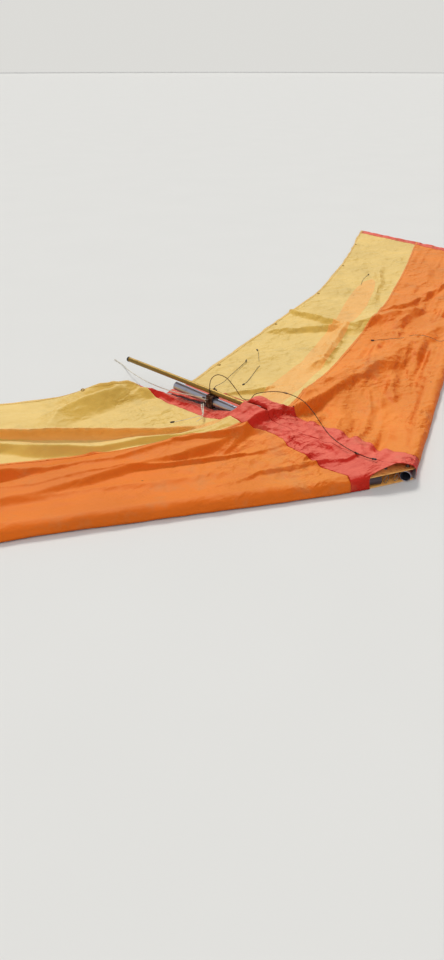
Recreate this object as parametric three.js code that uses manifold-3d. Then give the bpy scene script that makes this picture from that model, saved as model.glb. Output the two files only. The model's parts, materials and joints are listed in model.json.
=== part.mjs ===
// A weight-shift hang glider, laid flat on its belly with its wings loosely spread.
// Millimetres, +Z up, the floor at z = 0, +Y aft along the keel, +X to the pilot's left hand
// as the pilot would hang below it. One mesh for each sub-part.
import * as THREE from 'three';
import { mergeVertices } from 'three/addons/utils/BufferGeometryUtils.js';
import Module from 'manifold-3d';

const wasm = await Module();
wasm.setup();

// Clearances
const GAP = 0.3; // between solids that touch
const FIT = 0.6; // round a pin or a tube in its strap

// Nose, where both leading edges turn on bolts between two plates
const NOSE_Y = 24;
const NOSE_BOLT_SPREAD = 95;
const NOSE_TWIST = THREE.MathUtils.degToRad(28);
const PLATE_THICK = 3.5;
const PLATE_OUTLINE = [[-115.5, 56], [91, -54], [115.5, -8], [42, 112], [-45, 120], [-91, 102]]; // x, y

// Leading edges: each wing's angle from the keel, as it lies, and its tubes along the bolt's radius
const LE_ANGLE = { left: THREE.MathUtils.degToRad(70.6), right: THREE.MathUtils.degToRad(55.2) };
const LE_Z = 30;
const LE_RADIUS = 25;
const LE_REAR_RADIUS = 22;
const LE_INNER_END = -43;
const LE_SPLICE = 2700;
const LE_OUTER_END = 4440;
const TIP_CAP_LENGTH = 45;
const POCKET_START = 110;
const POCKET_END = 4420;
const POCKET_BORE = 25.5;
const POCKET_RADIUS = 30;
const JUNCTION_AT = 2330; // where the crossbar's tip bolts on when the wing is rigged
const JUNCTION_LENGTH = 70;
const JUNCTION_REACH = 46;

// Keel tube, which rises aft and ends where it was cut off
const KEEL_RADIUS = 24;
const KEEL_FRONT = 60;
const KEEL_REAR = 1360;
const KEEL_FRONT_Z = 28.9;
const KEEL_REAR_Z = 84;

// Crossbars, hinged on the keel's centre bracket, with the control frame's tubes strapped on
const HINGE_X = 70;
const HINGE_Y = 770;
const BAR_Z = 44;
const BAR_RADIUS = 19;
const BAR_INNER_END = -22;
const BAR_OUTER_END = 1925;
const BAR_TIP_LENGTH = 90;
const BAR_MEETS_EDGE = { left: 2343, right: 2556 }; // along the leading edge, on the bar's line
const FRAME_TUBE_RADIUS = 14;
const DOWNTUBE = { from: 150, to: 1650, side: 33.5, z: 39 };
const BASE_BAR = { from: 300, to: 1750, side: 62, z: 39 };
const STRAPS_AT = [450, 1500];
const STRAP_WIDTH = 40;
const STRAP_THICK = 2;
const EAR_THICK = 3.5;
const EAR_REACH = 95;
const CLAMP = { halfWidth: 34, front: 735, rear: 805, top: 92 };

// Kingpost, folded back on the keel
const MAST_RADIUS = 13.5;
const MAST_PIVOT = { y: 790, z: 120 };
const MAST_TOP = { y: 1735, z: 141 };
const MAST_FOOT_LENGTH = 34;
const FORK_GAP = 0.5;
const FORK_THICK = 4;

// Rear bracket, where the rigging meets the keel
const REAR_BRACKET = { y: 1090, length: 40, halfWidth: 30, bottom: 42, top: 112.5 };

// Sail: cloth panels as sheets, pinned to the leading edge and draped over the tubes
const CLOTH = 4;
const FLOOR_REST = 9;
const SEAM = 0.49; // share of the chord from the leading edge to the orange and yellow seam
const SEAM_GAP = 0.35;
const HEM_START = 0.975;
const SPAN_STEPS = 24;
const FRONT_ROWS = [0, 0.035, 0.07, 0.14, 0.21, 0.28, 0.355, 0.42, 0.465]; // shares of the chord
const REAR_ROWS = [0.52, 0.55, 0.58, 0.61, 0.65, 0.714, 0.786, 0.857, 0.929, 1];
const EDGE_RAMP = { top: 64.35, knee: 50, kneeZ: 57, foot: 145 }; // over and behind the leading edge
const BAR_CREST = 82;
const BAR_PLATEAU = 30; // to each side of the crossbar and of what is strapped to it
const BAR_SLOPE = 0.36;

// Each wing's chord: share of the span, length of the chord, how far its rear end leans out
const CHORDS = {
  left: [
    { span: 0, chord: 1442, lean: 0 },
    { span: 0.25, chord: 1325, lean: 33 },
    { span: 0.5, chord: 1207, lean: 57 },
    { span: 0.75, chord: 1279, lean: 141 },
    { span: 1, chord: 1452, lean: 231 },
  ],
  right: [
    { span: 0, chord: 1460, lean: -88 },
    { span: 0.2, chord: 1455, lean: -172 },
    { span: 0.5, chord: 1370, lean: -192 },
    { span: 0.75, chord: 1370, lean: -190 },
    { span: 1, chord: 1394, lean: -183 },
  ],
};

// Long folds of slack cloth: distance behind the leading edge at the root and at the tip,
// crest height, half width, and the share of the span where the fold has faded out
const FOLDS = {
  left: [],
  right: [
    { root: 340, tip: 160, crest: 58, half: 95, fade: 1 },
    { root: 400, tip: 520, crest: 72, half: 100, fade: 0.9 },
    { root: 600, tip: 1300, crest: 70, half: 90, fade: 0.65 },
  ],
};

// Places where the slack cloth stands up: along the leading edge, behind it, crest height and half width
const MOUNDS = {
  left: [{ along: 1867, behind: 713, crest: 55, half: 260 }],
  right: [{ along: 1020, behind: 1270, crest: 95, half: 250 }],
};

// How far the hood reaches out over the nose plates, in front of a straight line
const HOOD_REACH = { left: 62, right: 6 };

// Red centre panel's inner edge: how far aft, how far out from the keel's line, how high
const RED_EDGE = [
  { y: -25, x: 0.25, z: 92 },
  { y: 60, x: 0.25, z: 100 },
  { y: 200, x: 0.25, z: 92 },
  { y: 400, x: 0.25, z: 82 },
  { y: 560, x: 0.25, z: 88 },
  { y: 640, x: 0.25, z: 100 },
  { y: 690, x: 0.25, z: 115 },
  { y: 725, x: 22, z: 136 },
  { y: 770, x: 22, z: 140 },
  { y: 820, x: 24, z: 140 },
  { y: 860, x: 26, z: 132 },
  { y: 920, x: 40, z: 84 },
  { y: 1050, x: 60, z: 34 },
  { y: 1250, x: 62, z: 20 },
  { y: 1450, x: 64, z: 12 },
];

// Slack stays: points that each wire runs through, x, y, z, from the fitting that holds it
const STAYS = {
  front_stay: {
    radius: 2, steps: 80, colour: 0x7a5230,
    route: [
      [-21, 1088, 112.9], [-21, 1088, 126], [-20, 1092, 150], [-20, 1082, 205], [-20, 1033, 246], [2, 994, 232],
      [24, 955, 180], [42, 915, 126], [74, 896, 114], [117, 895, 130], [136, 835, 155], [136, 754, 180],
      [138, 676, 185], [135, 603, 175], [104, 529, 160], [56, 445, 140], [24, 382, 120], [10, 331, 104],
      [-4, 266, 95], [-11, 229, 93], [-17, 187, 92], [-22, 125, 94], [-19, 103, 96], [-16, 86, 98],
    ],
  },
  right_stay: {
    radius: 2.5, steps: 40, colour: 0xd8d2c4,
    route: [
      [-52.4, 1090, 87], [-66, 1090, 87], [-96, 1070, 85], [-132, 1036, 82], [-158, 1014, 80], [-178, 1012, 78],
      [-206, 1028, 75], [-268, 1048, 75], [-336, 1076, 78],
    ],
  },
  left_stay: {
    radius: 1.5, steps: 40, colour: 0x4a4440,
    route: [
      [23, 1098, 112.9], [23, 1098, 122], [36, 1106, 134], [66, 1122, 130], [105, 1139, 118], [228, 1203, 80],
      [300, 1247, 58], [400, 1305, 32], [484, 1343, 19], [584, 1376, 16], [658, 1400, 16], [686, 1416, 16],
    ],
  },
  tail_stay: {
    radius: 2.5, steps: 40, colour: 0xd8d2c4,
    route: [
      [-26, 1110.4, 92], [-26, 1128, 91], [-31, 1190, 84], [-36, 1330, 66], [-32, 1450, 57], [-10, 1590, 48],
      [34, 1730, 34], [84, 1850, 18], [124, 1930, 8], [150, 2000, 4], [166, 2070, 4],
    ],
  },
};

// Finishes
const FINISH = {
  silver: { color: 0xb9bac6, roughness: 0.35, metalness: 0.9 },
  gold: { color: 0xb98f45, roughness: 0.35, metalness: 0.85 },
  steel: { color: 0x8a8a8a, roughness: 0.4, metalness: 0.9 },
  black: { color: 0x1d1d1f, roughness: 0.7, metalness: 0 },
  webbing: { color: 0x2b2b30, roughness: 0.9, metalness: 0 },
  red: { color: 0xd9401e, roughness: 0.75, metalness: 0 },
  orange: { color: 0xf08a34, roughness: 0.75, metalness: 0 },
  yellow: { color: 0xe6c060, roughness: 0.75, metalness: 0 },
};

const ALL_ROWS = [...FRONT_ROWS, SEAM, ...REAR_ROWS];
const SIDES = { left: 1, right: -1 }; // the sign of x on each wing
const UP = new THREE.Vector3(0, 0, 1);
const glider = new THREE.Group();
glider.name = 'hang_glider';

const lerp = THREE.MathUtils.lerp;
const clamp = THREE.MathUtils.clamp;

// Value of a column at a place in a table sorted by its key column
function interpolate(table, key, at, column) {
  const next = Math.max(1, table.findIndex((row) => row[key] >= at));
  const last = table[next - 1];
  const row = at > table.at(-1)[key] ? table.at(-1) : table[next];
  const share = clamp((at - last[key]) / (row[key] - last[key] || 1), 0, 1);
  return lerp(last[column], row[column], share);
}

function addPart(name, geometry, finish) {
  const colour = typeof finish === 'number' ? { color: finish, roughness: 0.6 } : finish;
  const mesh = new THREE.Mesh(geometry, new THREE.MeshStandardMaterial(colour));
  mesh.name = name;
  glider.add(mesh);
  return mesh;
}

// Joining and cutting of closed shapes
function toManifold(geometry) {
  const bare = geometry.index ? geometry.toNonIndexed() : geometry.clone();
  bare.deleteAttribute('normal');
  bare.deleteAttribute('uv');
  const merged = mergeVertices(bare, 1e-4);
  return new wasm.Manifold(new wasm.Mesh({
    numProp: 3,
    vertProperties: new Float32Array(merged.attributes.position.array),
    triVerts: new Uint32Array(merged.index.array),
  }));
}

function fromManifold(solid) {
  const mesh = solid.getMesh();
  const geometry = new THREE.BufferGeometry();
  geometry.setAttribute('position', new THREE.BufferAttribute(mesh.vertProperties, 3));
  geometry.setIndex(new THREE.BufferAttribute(mesh.triVerts, 1));
  geometry.computeVertexNormals();
  return geometry;
}

function join(...geometries) {
  const solids = geometries.map(toManifold);
  return fromManifold(solids.reduce((whole, piece) => whole.add(piece)));
}

function cut(geometry, tool) {
  return fromManifold(toManifold(geometry).subtract(toManifold(tool)));
}

// A box between two corners
function block(low, high) {
  const size = high.map((value, axis) => value - low[axis]);
  const box = new THREE.BoxGeometry(...size);
  return box.translate(...low.map((value, axis) => value + size[axis] / 2));
}

// Turns a shape built along +Y from y = 0 so that it runs from one point towards another
function alongLine(geometry, from, to) {
  const direction = to.clone().sub(from).normalize();
  const turn = new THREE.Quaternion().setFromUnitVectors(new THREE.Vector3(0, 1, 0), direction);
  return geometry.applyQuaternion(turn).translate(from.x, from.y, from.z);
}

function rod(from, to, radius, sides = 16) {
  const length = from.distanceTo(to);
  const cylinder = new THREE.CylinderGeometry(radius, radius, length, sides);
  return alongLine(cylinder.translate(0, length / 2, 0), from, to);
}

function sleeve(from, to, outer, inner, sides = 16) {
  const length = from.distanceTo(to);
  const outline = [[inner, 0], [outer, 0], [outer, length], [inner, length], [inner, 0]];
  const ring = new THREE.LatheGeometry(outline.map(([r, y]) => new THREE.Vector2(r, y)), sides);
  return alongLine(ring, from, to);
}

// A flat plate of an outline in x and y, between two heights
function plate(outline, low, high) {
  const shape = new THREE.Shape(outline.map(([x, y]) => new THREE.Vector2(x, y)));
  const flat = new THREE.ExtrudeGeometry(shape, { depth: high - low, bevelEnabled: false });
  return flat.translate(0, 0, low);
}

// Places on the frame
const noseBolt = (side) => new THREE.Vector3(
  SIDES[side] * NOSE_BOLT_SPREAD * Math.cos(NOSE_TWIST),
  NOSE_Y - SIDES[side] * NOSE_BOLT_SPREAD * Math.sin(NOSE_TWIST),
  LE_Z,
);

const edgeDirection = (side) => new THREE.Vector3(
  SIDES[side] * Math.sin(LE_ANGLE[side]),
  Math.cos(LE_ANGLE[side]),
  0,
);

const edgePoint = (side, radius) => noseBolt(side).addScaledVector(edgeDirection(side), radius);

// Across the leading edge, towards the trailing edge
const edgeNormal = (side) => new THREE.Vector3(
  -SIDES[side] * Math.cos(LE_ANGLE[side]),
  Math.sin(LE_ANGLE[side]),
  0,
);

const barHinge = (side) => new THREE.Vector3(SIDES[side] * HINGE_X, HINGE_Y, BAR_Z);

function barDirection(side) {
  const target = edgePoint(side, BAR_MEETS_EDGE[side]).setZ(BAR_Z);
  return target.sub(barHinge(side)).normalize();
}

// Across the crossbar, towards the nose
function barFront(side) {
  const along = barDirection(side);
  return new THREE.Vector3(SIDES[side] * along.y, -SIDES[side] * along.x, 0);
}

const barPoint = (side, along, front = 0, z = BAR_Z) => barHinge(side)
  .addScaledVector(barDirection(side), along)
  .addScaledVector(barFront(side), front)
  .setZ(z);

const keelZ = (y) => lerp(KEEL_FRONT_Z, KEEL_REAR_Z, (y - KEEL_FRONT) / (KEEL_REAR - KEEL_FRONT));
const keelPoint = (y) => new THREE.Vector3(0, y, keelZ(y));

// Keel, nose plates and brackets
function keel() {
  addPart('keel_tube', rod(keelPoint(KEEL_FRONT), keelPoint(KEEL_REAR), KEEL_RADIUS, 20), FINISH.silver);
}

function nosePlates() {
  const underside = LE_Z - LE_RADIUS - GAP;
  const upper = LE_Z + LE_RADIUS + GAP;
  addPart('nose_plate_bottom', plate(PLATE_OUTLINE, underside - PLATE_THICK, underside), FINISH.gold);
  addPart('nose_plate_top', plate(PLATE_OUTLINE, upper, upper + PLATE_THICK), FINISH.gold);
}

function keelBore(radius) {
  return rod(keelPoint(KEEL_FRONT), keelPoint(KEEL_REAR + 100), radius, 20);
}

function crossbarBracket() {
  const earLow = BAR_Z - BAR_RADIUS - FIT;
  const earHigh = BAR_Z + BAR_RADIUS + FIT;
  const body = block(
    [-CLAMP.halfWidth, CLAMP.front, earLow - EAR_THICK],
    [CLAMP.halfWidth, CLAMP.rear, CLAMP.top],
  );
  const ears = [earLow - EAR_THICK, earHigh].map((low) => block(
    [-EAR_REACH, HINGE_Y - 25, low],
    [EAR_REACH, HINGE_Y + 25, low + EAR_THICK],
  ));
  const inner = MAST_RADIUS + FORK_GAP;
  const fork = [-inner - FORK_THICK, inner].map((low) => block(
    [low, MAST_PIVOT.y - 15, CLAMP.top - 1],
    [low + FORK_THICK, MAST_PIVOT.y + 15, MAST_PIVOT.z + 12],
  ));
  const whole = join(body, ...ears, ...fork);
  addPart('crossbar_bracket', cut(whole, keelBore(KEEL_RADIUS + GAP + 0.1)), FINISH.steel);
}

function rearBracket() {
  const { y, length, halfWidth, bottom, top } = REAR_BRACKET;
  const body = block([-halfWidth, y - length / 2, bottom], [halfWidth, y + length / 2, top]);
  const lug = block([-halfWidth - 22, y - 6, 78], [-halfWidth + 2, y + 6, 96]);
  addPart('rear_bracket', cut(join(body, lug), keelBore(KEEL_RADIUS + GAP + 0.1)), FINISH.steel);
}

// One leading edge: two tubes end to end, the tip's cap, the crossbar's bracket and the pocket
function leadingEdge(side) {
  const at = (radius) => edgePoint(side, radius);
  addPart(`leading_edge_front_${side}`, rod(at(LE_INNER_END), at(LE_SPLICE), LE_RADIUS), FINISH.silver);
  addPart(
    `leading_edge_rear_${side}`,
    rod(at(LE_SPLICE + GAP), at(LE_OUTER_END), LE_REAR_RADIUS),
    FINISH.silver,
  );
  addPart(
    `tip_cap_${side}`,
    rod(at(LE_OUTER_END + GAP), at(LE_OUTER_END + TIP_CAP_LENGTH), LE_REAR_RADIUS + 1.5),
    FINISH.black,
  );
  junctionBracket(side);
  const tube = sleeve(at(POCKET_START), at(POCKET_END), POCKET_RADIUS, POCKET_BORE);
  addPart(`pocket_${side}`, cut(tube, edgeBlock(side, 100, [15, 34], [8, 50])), FINISH.orange);
}

// A box beside the junction: its length along the edge, its reach across it and its heights
function edgeBlock(side, length, [near, far], [low, high]) {
  const turn = Math.atan2(edgeDirection(side).y, edgeDirection(side).x);
  const across = SIDES[side] > 0 ? [near, far] : [-far, -near];
  const box = block([-length / 2, across[0], low], [length / 2, across[1], high]);
  const centre = edgePoint(side, JUNCTION_AT);
  return box.rotateZ(turn).translate(centre.x, centre.y, 0);
}

function junctionBracket(side) {
  const backPlate = edgeBlock(side, JUNCTION_LENGTH + 20, [LE_RADIUS + 0.4, LE_RADIUS + 4.5], [12, 46]);
  const arm = edgeBlock(side, JUNCTION_LENGTH, [LE_RADIUS + 3, JUNCTION_REACH], [15, 33]);
  addPart(`junction_bracket_${side}`, join(backPlate, arm), FINISH.steel);
}

// One crossbar with what is strapped to it
function crossbar(side) {
  const tip = BAR_OUTER_END + BAR_TIP_LENGTH;
  const tube = rod(barPoint(side, BAR_INNER_END), barPoint(side, BAR_OUTER_END), BAR_RADIUS);
  addPart(`crossbar_tube_${side}`, tube, FINISH.silver);
  const lug = new THREE.BoxGeometry(32, BAR_TIP_LENGTH - GAP, 10);
  lug.translate(0, (BAR_TIP_LENGTH - GAP) / 2, 0);
  const start = barPoint(side, BAR_OUTER_END + GAP);
  addPart(`crossbar_tip_${side}`, alongLine(lug, start, barPoint(side, tip)), FINISH.steel);
  frameTube(`downtube_${side}`, side, DOWNTUBE);
  if (side === 'right') frameTube('base_bar', side, BASE_BAR);
  STRAPS_AT.forEach((along, index) => strap(`strap_${index + 1}_${side}`, side, along));
}

function frameTube(name, side, { from, to, side: front, z }) {
  const tube = rod(barPoint(side, from, front, z), barPoint(side, to, front, z), FRAME_TUBE_RADIUS, 12);
  addPart(name, tube, FINISH.silver);
}

// How far a strap reaches in front of its crossbar, to take in the tubes beside it
function strapReach(side) {
  const outermost = side === 'right' ? BASE_BAR : DOWNTUBE;
  return outermost.side + FRAME_TUBE_RADIUS + FIT;
}

// A band of webbing round the crossbar and the tubes beside it
function strap(name, side, along) {
  const reach = strapReach(side);
  const outline = (spare, Kind) => {
    const path = new Kind();
    const [low, high] = [-BAR_RADIUS - FIT - spare, reach + spare];
    const [bottom, top] = [-BAR_RADIUS - FIT - spare, BAR_RADIUS + FIT + spare];
    const corner = 6 + spare;
    path.moveTo(low + corner, bottom);
    path.lineTo(high - corner, bottom).lineTo(high, bottom + corner);
    path.lineTo(high, top - corner).lineTo(high - corner, top);
    path.lineTo(low + corner, top).lineTo(low, top - corner);
    path.lineTo(low, bottom + corner).lineTo(low + corner, bottom);
    return path;
  };
  const band = outline(STRAP_THICK, THREE.Shape);
  band.holes.push(outline(0, THREE.Path));
  const geometry = new THREE.ExtrudeGeometry(band, { depth: STRAP_WIDTH, bevelEnabled: false });
  const frame = new THREE.Matrix4().makeBasis(barFront(side), UP, barFront(side).clone().cross(UP));
  geometry.applyMatrix4(frame);
  const place = barPoint(side, along);
  addPart(name, geometry.translate(place.x, place.y, place.z), FINISH.webbing);
}

// Kingpost with its foot and its head, lying aft along the keel
function kingpost() {
  const pivot = new THREE.Vector3(0, MAST_PIVOT.y, MAST_PIVOT.z);
  const top = new THREE.Vector3(0, MAST_TOP.y, MAST_TOP.z);
  const along = top.clone().sub(pivot).normalize();
  const at = (distance) => pivot.clone().addScaledVector(along, distance);
  const length = pivot.distanceTo(top);
  const foot = MAST_FOOT_LENGTH - 14;
  addPart('kingpost_foot', rod(at(-14), at(foot), MAST_RADIUS), FINISH.black);
  addPart('kingpost_tube', rod(at(foot + GAP), at(length), MAST_RADIUS), FINISH.gold);
  addPart('kingpost_head', rod(at(length + GAP), at(length + 14), MAST_RADIUS + 1), FINISH.black);
}

// How far a point lies behind the leading edge's centre line
function behindEdge(side, x, y) {
  const bolt = noseBolt(side);
  const normal = edgeNormal(side);
  return (x - bolt.x) * normal.x + (y - bolt.y) * normal.y;
}

// Height of the cloth's upper face where it drapes over the leading edge
function edgeRamp(behind) {
  if (behind < EDGE_RAMP.knee) {
    return lerp(EDGE_RAMP.top, EDGE_RAMP.kneeZ, clamp(behind / EDGE_RAMP.knee, 0, 1));
  }
  const share = clamp((behind - EDGE_RAMP.knee) / (EDGE_RAMP.foot - EDGE_RAMP.knee), 0, 1);
  return lerp(EDGE_RAMP.kneeZ, FLOOR_REST, share);
}

// Height where it drapes over the crossbar
function barHump(side, x, y) {
  const hinge = barHinge(side);
  const along = barDirection(side);
  const run = (x - hinge.x) * along.x + (y - hinge.y) * along.y;
  const front = barFront(side);
  const off = (x - hinge.x) * front.x + (y - hinge.y) * front.y;
  const end = BAR_OUTER_END + BAR_TIP_LENGTH;
  const fade = clamp(1 - (run - end) / 350, 0, 1);
  const strapped = run > 0 && run < BASE_BAR.to + 50 ? strapReach(side) : 0;
  const wide = off > 0 ? BAR_PLATEAU + strapped : BAR_PLATEAU;
  const crest = BAR_CREST - Math.max(0, Math.abs(off) - wide) * BAR_SLOPE;
  return lerp(FLOOR_REST, crest, fade);
}

// Height where it drapes over the keel's bracket: its clamp and its ears
function bracketDome(x, y) {
  const beyond = (halfX, halfY) => Math.hypot(
    Math.max(0, Math.abs(x) - halfX),
    Math.max(0, Math.abs(y - HINGE_Y) - halfY),
  );
  const overEars = BAR_CREST - beyond(EAR_REACH + 20, 60) * BAR_SLOPE;
  const overClamp = CLAMP.top + 13 - beyond(CLAMP.halfWidth + 6, 60);
  return Math.max(overEars, overClamp);
}

// Height of the long folds and of the mounds
function foldHeight(side, span, behind) {
  const heights = FOLDS[side].map(({ root, tip, crest, half, fade }) => {
    const off = Math.abs(behind - lerp(root, tip, span)) / half;
    const strength = clamp((fade - span) / 0.3, 0, 1) * clamp(span / 0.06, 0, 1);
    return FLOOR_REST + (crest - FLOOR_REST) * Math.max(0, 1 - off) * strength;
  });
  const along = lerp(POCKET_START + 4, POCKET_END, span);
  const mounds = MOUNDS[side].map((mound) => {
    const off = Math.hypot(along - mound.along, behind - mound.behind) / mound.half;
    return FLOOR_REST + (mound.crest - FLOOR_REST) * Math.max(0, 1 - off);
  });
  return Math.max(FLOOR_REST, ...heights, ...mounds);
}

// Upper face of the sail at a share of the span and a share of the chord
function sailPoint(side, span, chordShare) {
  const front = edgePoint(side, lerp(POCKET_START + 4, POCKET_END, span));
  const chord = interpolate(CHORDS[side], 'span', span, 'chord');
  const lean = interpolate(CHORDS[side], 'span', span, 'lean') * SIDES[side];
  const x = front.x + lean * chordShare;
  const y = front.y + chord * chordShare;
  const behind = behindEdge(side, x, y);
  const z = Math.max(edgeRamp(behind), barHump(side, x, y), foldHeight(side, span, behind));
  return new THREE.Vector3(x, y, z);
}

// A closed sheet from a grid of points on its upper face, rows across and columns along
function sheet(grid) {
  const rows = grid.length;
  const columns = grid[0].length;
  const points = grid.flat();
  const vertices = [...points, ...points.map((p) => p.clone().setZ(p.z - CLOTH))];
  const under = points.length;
  const index = [];
  const at = (row, column) => row * columns + column;
  for (let row = 0; row < rows - 1; row += 1) {
    for (let column = 0; column < columns - 1; column += 1) {
      const [a, b] = [at(row, column), at(row, column + 1)];
      const [c, d] = [at(row + 1, column + 1), at(row + 1, column)];
      index.push(a, b, c, a, c, d);
      index.push(under + a, under + c, under + b, under + a, under + d, under + c);
    }
  }
  const rim = [];
  for (let column = 0; column < columns - 1; column += 1) rim.push(at(0, column));
  for (let row = 0; row < rows - 1; row += 1) rim.push(at(row, columns - 1));
  for (let column = columns - 1; column > 0; column -= 1) rim.push(at(rows - 1, column));
  for (let row = rows - 1; row > 0; row -= 1) rim.push(at(row, 0));
  rim.forEach((a, place) => {
    const b = rim[(place + 1) % rim.length];
    index.push(a, under + a, under + b, a, under + b, b);
  });
  const geometry = new THREE.BufferGeometry();
  const flat = vertices.flatMap((p) => [p.x, p.y, p.z]);
  geometry.setAttribute('position', new THREE.Float32BufferAttribute(flat, 3));
  const facesUp = signedArea(grid) > 0;
  geometry.setIndex(facesUp ? index : index.reverse());
  geometry.computeVertexNormals();
  return geometry;
}

// Which way round the grid runs, seen from above
function signedArea(grid) {
  const [a, b, c] = [grid[0][0], grid[0].at(-1), grid.at(-1).at(-1)];
  return (b.x - a.x) * (c.y - a.y) - (b.y - a.y) * (c.x - a.x);
}

const steps = (from, to, count) => Array.from({ length: count + 1 }, (_, i) => lerp(from, to, i / count));

// Orange front panel, yellow rear panel and red tip hem of one wing
function wingCloth(side) {
  const halfGap = SEAM_GAP / 2 / CHORDS[side][0].chord;
  const spans = steps(0, HEM_START - halfGap, SPAN_STEPS);
  const panel = (name, spanList, chordList, finish) => {
    const grid = spanList.map((span) => chordList.map((share) => sailPoint(side, span, share)));
    addPart(name, sheet(grid), finish);
  };
  panel(`orange_panel_${side}`, spans, [...FRONT_ROWS, SEAM - halfGap], FINISH.orange);
  panel(`yellow_panel_${side}`, spans, [SEAM + halfGap, ...REAR_ROWS], FINISH.yellow);
  panel(`tip_hem_${side}`, [HEM_START, 1], ALL_ROWS, FINISH.red);
}

// Half of the red centre panel, from the keel's line out to the wing's first chord
function redPanel(side) {
  const first = RED_EDGE[0].y;
  const last = RED_EDGE.at(-1).y;
  const grid = ALL_ROWS.map((row) => {
    const outer = sailPoint(side, 0, row);
    outer.x -= SIDES[side] * SEAM_GAP;
    const y = lerp(first, last, row);
    const innerX = SIDES[side] * interpolate(RED_EDGE, 'y', y, 'x');
    const innerZ = interpolate(RED_EDGE, 'y', y, 'z');
    return steps(0, 1, 6).map((share) => {
      const px = lerp(innerX, outer.x, share);
      const forward = HOOD_REACH[side] * Math.sin(Math.PI * share) * clamp(1 - row / 0.1, 0, 1);
      const py = lerp(y, outer.y, share) - forward;
      const slope = outer.z + (innerZ - outer.z) * (1 - share) ** 1.3;
      const overBar = Math.max(barHump(side, px, py), bracketDome(px, py));
      const overEdge = edgeRamp(behindEdge(side, px, py));
      return new THREE.Vector3(px, py, share < 1 ? Math.max(slope, overBar, overEdge) : outer.z);
    });
  });
  addPart(`red_panel_${side}`, sheet(grid), FINISH.red);
}

// A slack wire along its route
function stay(name, { radius, steps: count, colour, route }) {
  const curve = new THREE.CatmullRomCurve3(route.map((point) => new THREE.Vector3(...point)));
  const section = new THREE.Shape();
  for (let side = 0; side < 8; side += 1) {
    const angle = (side * Math.PI) / 4;
    const [x, y] = [radius * Math.cos(angle), radius * Math.sin(angle)];
    if (side === 0) section.moveTo(x, y);
    else section.lineTo(x, y);
  }
  addPart(name, new THREE.ExtrudeGeometry(section, { steps: count, extrudePath: curve }), colour);
}

keel();
nosePlates();
crossbarBracket();
rearBracket();
kingpost();
for (const side of Object.keys(SIDES)) {
  leadingEdge(side);
  crossbar(side);
  redPanel(side);
  wingCloth(side);
}

// The origin is at the middle of the glider's footprint, on the floor; the stays don't count
const box = new THREE.Box3();
glider.children.forEach((mesh) => box.expandByObject(mesh));
Object.entries(STAYS).forEach(([name, details]) => stay(name, details));
const middle = box.getCenter(new THREE.Vector3());
glider.position.set(-middle.x, -middle.y, -box.min.z);

export default glider;
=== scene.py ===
"""Looks of a hang glider that lies flat on its belly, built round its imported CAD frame.

Metres, +Z up, the floor at z = 0; tables marked mm are in millimetres. A plan place is the CAD source's own
x and y, before it moved its origin: x = 0 on the keel's line, y aft. On a wing, "run" goes along the leading
edge from its nose bolt and "back" behind it; "span" and "share" go from 0 to 1 along the wing and its chord.
"""
import contextlib
import json
import math

import bmesh
import bpy
import numpy as np
from mathutils import Matrix, Vector


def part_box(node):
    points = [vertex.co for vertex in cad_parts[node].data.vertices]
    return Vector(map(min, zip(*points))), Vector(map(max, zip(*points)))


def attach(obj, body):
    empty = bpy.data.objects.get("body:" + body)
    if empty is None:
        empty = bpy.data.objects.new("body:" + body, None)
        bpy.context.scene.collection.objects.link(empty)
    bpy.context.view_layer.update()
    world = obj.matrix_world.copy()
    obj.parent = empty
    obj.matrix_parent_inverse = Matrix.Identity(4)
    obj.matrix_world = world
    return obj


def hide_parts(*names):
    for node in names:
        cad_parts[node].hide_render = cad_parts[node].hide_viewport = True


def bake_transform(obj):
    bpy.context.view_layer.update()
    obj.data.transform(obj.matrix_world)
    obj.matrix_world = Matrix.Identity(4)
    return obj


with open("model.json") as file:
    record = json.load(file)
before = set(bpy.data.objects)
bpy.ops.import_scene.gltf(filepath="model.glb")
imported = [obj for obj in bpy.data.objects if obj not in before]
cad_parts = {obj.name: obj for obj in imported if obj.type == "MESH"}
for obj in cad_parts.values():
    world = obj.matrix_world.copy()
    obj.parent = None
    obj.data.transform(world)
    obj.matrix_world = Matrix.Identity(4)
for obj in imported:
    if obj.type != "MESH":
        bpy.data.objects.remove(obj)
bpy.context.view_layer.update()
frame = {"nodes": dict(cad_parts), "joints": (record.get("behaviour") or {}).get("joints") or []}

bl_info = {
    "name": "Hang Glider Looks",
    "version": (1, 0, 0),
    "blender": (4, 5, 0),
    "location": "3D View > Sidebar > Glider",
    "description": "Dresses the CAD frame of a hang glider with cloth, tubes, fittings, wires and light",
    "category": "Object",
}


def mm(rows):
    """A table in millimetres, as metres."""
    return np.array(rows, float) / 1000


PLATE_LOW, PLATE_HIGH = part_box("nose_plate_top")
ORIGIN = np.array([(PLATE_LOW.x + PLATE_HIGH.x) / 2, PLATE_LOW.y + 0.054, 0.0])
JOINTS = {joint["name"]: joint for joint in frame["joints"]}

# Sizes that the CAD source gives the frame
EDGE_Z = 0.03
EDGE_RADIUS = 0.025
EDGE_REAR_RADIUS = 0.022
EDGE_SPLICE = 2.7
EDGE_ENDS = (-0.043, 4.44)
POCKET_RUN = (0.11, 4.42)
JUNCTION_RUN = 2.33
BAR_Z = 0.044
BAR_RADIUS = 0.019
BAR_HINGE = (0.07, 0.77)
BAR_RUN = (-0.022, 1.925)
BAR_MEETS_EDGE = {"left": 2.343, "right": 2.556}
STRAPS_AT = (0.45, 1.5)
FRAME_TUBE, FRAME_TUBE_Z = 0.014, 0.039
KEEL = ((0.0, 0.06, 0.0289), (0.0, 1.36, 0.084), 0.024)
KEEL_Z, KEEL_SLOPE = 0.0264, 0.0424
MAST = ((0.0, 0.79, 0.12), (0.0, 1.735, 0.141), 0.0135)
SOLID_GAP = 0.0003

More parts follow.
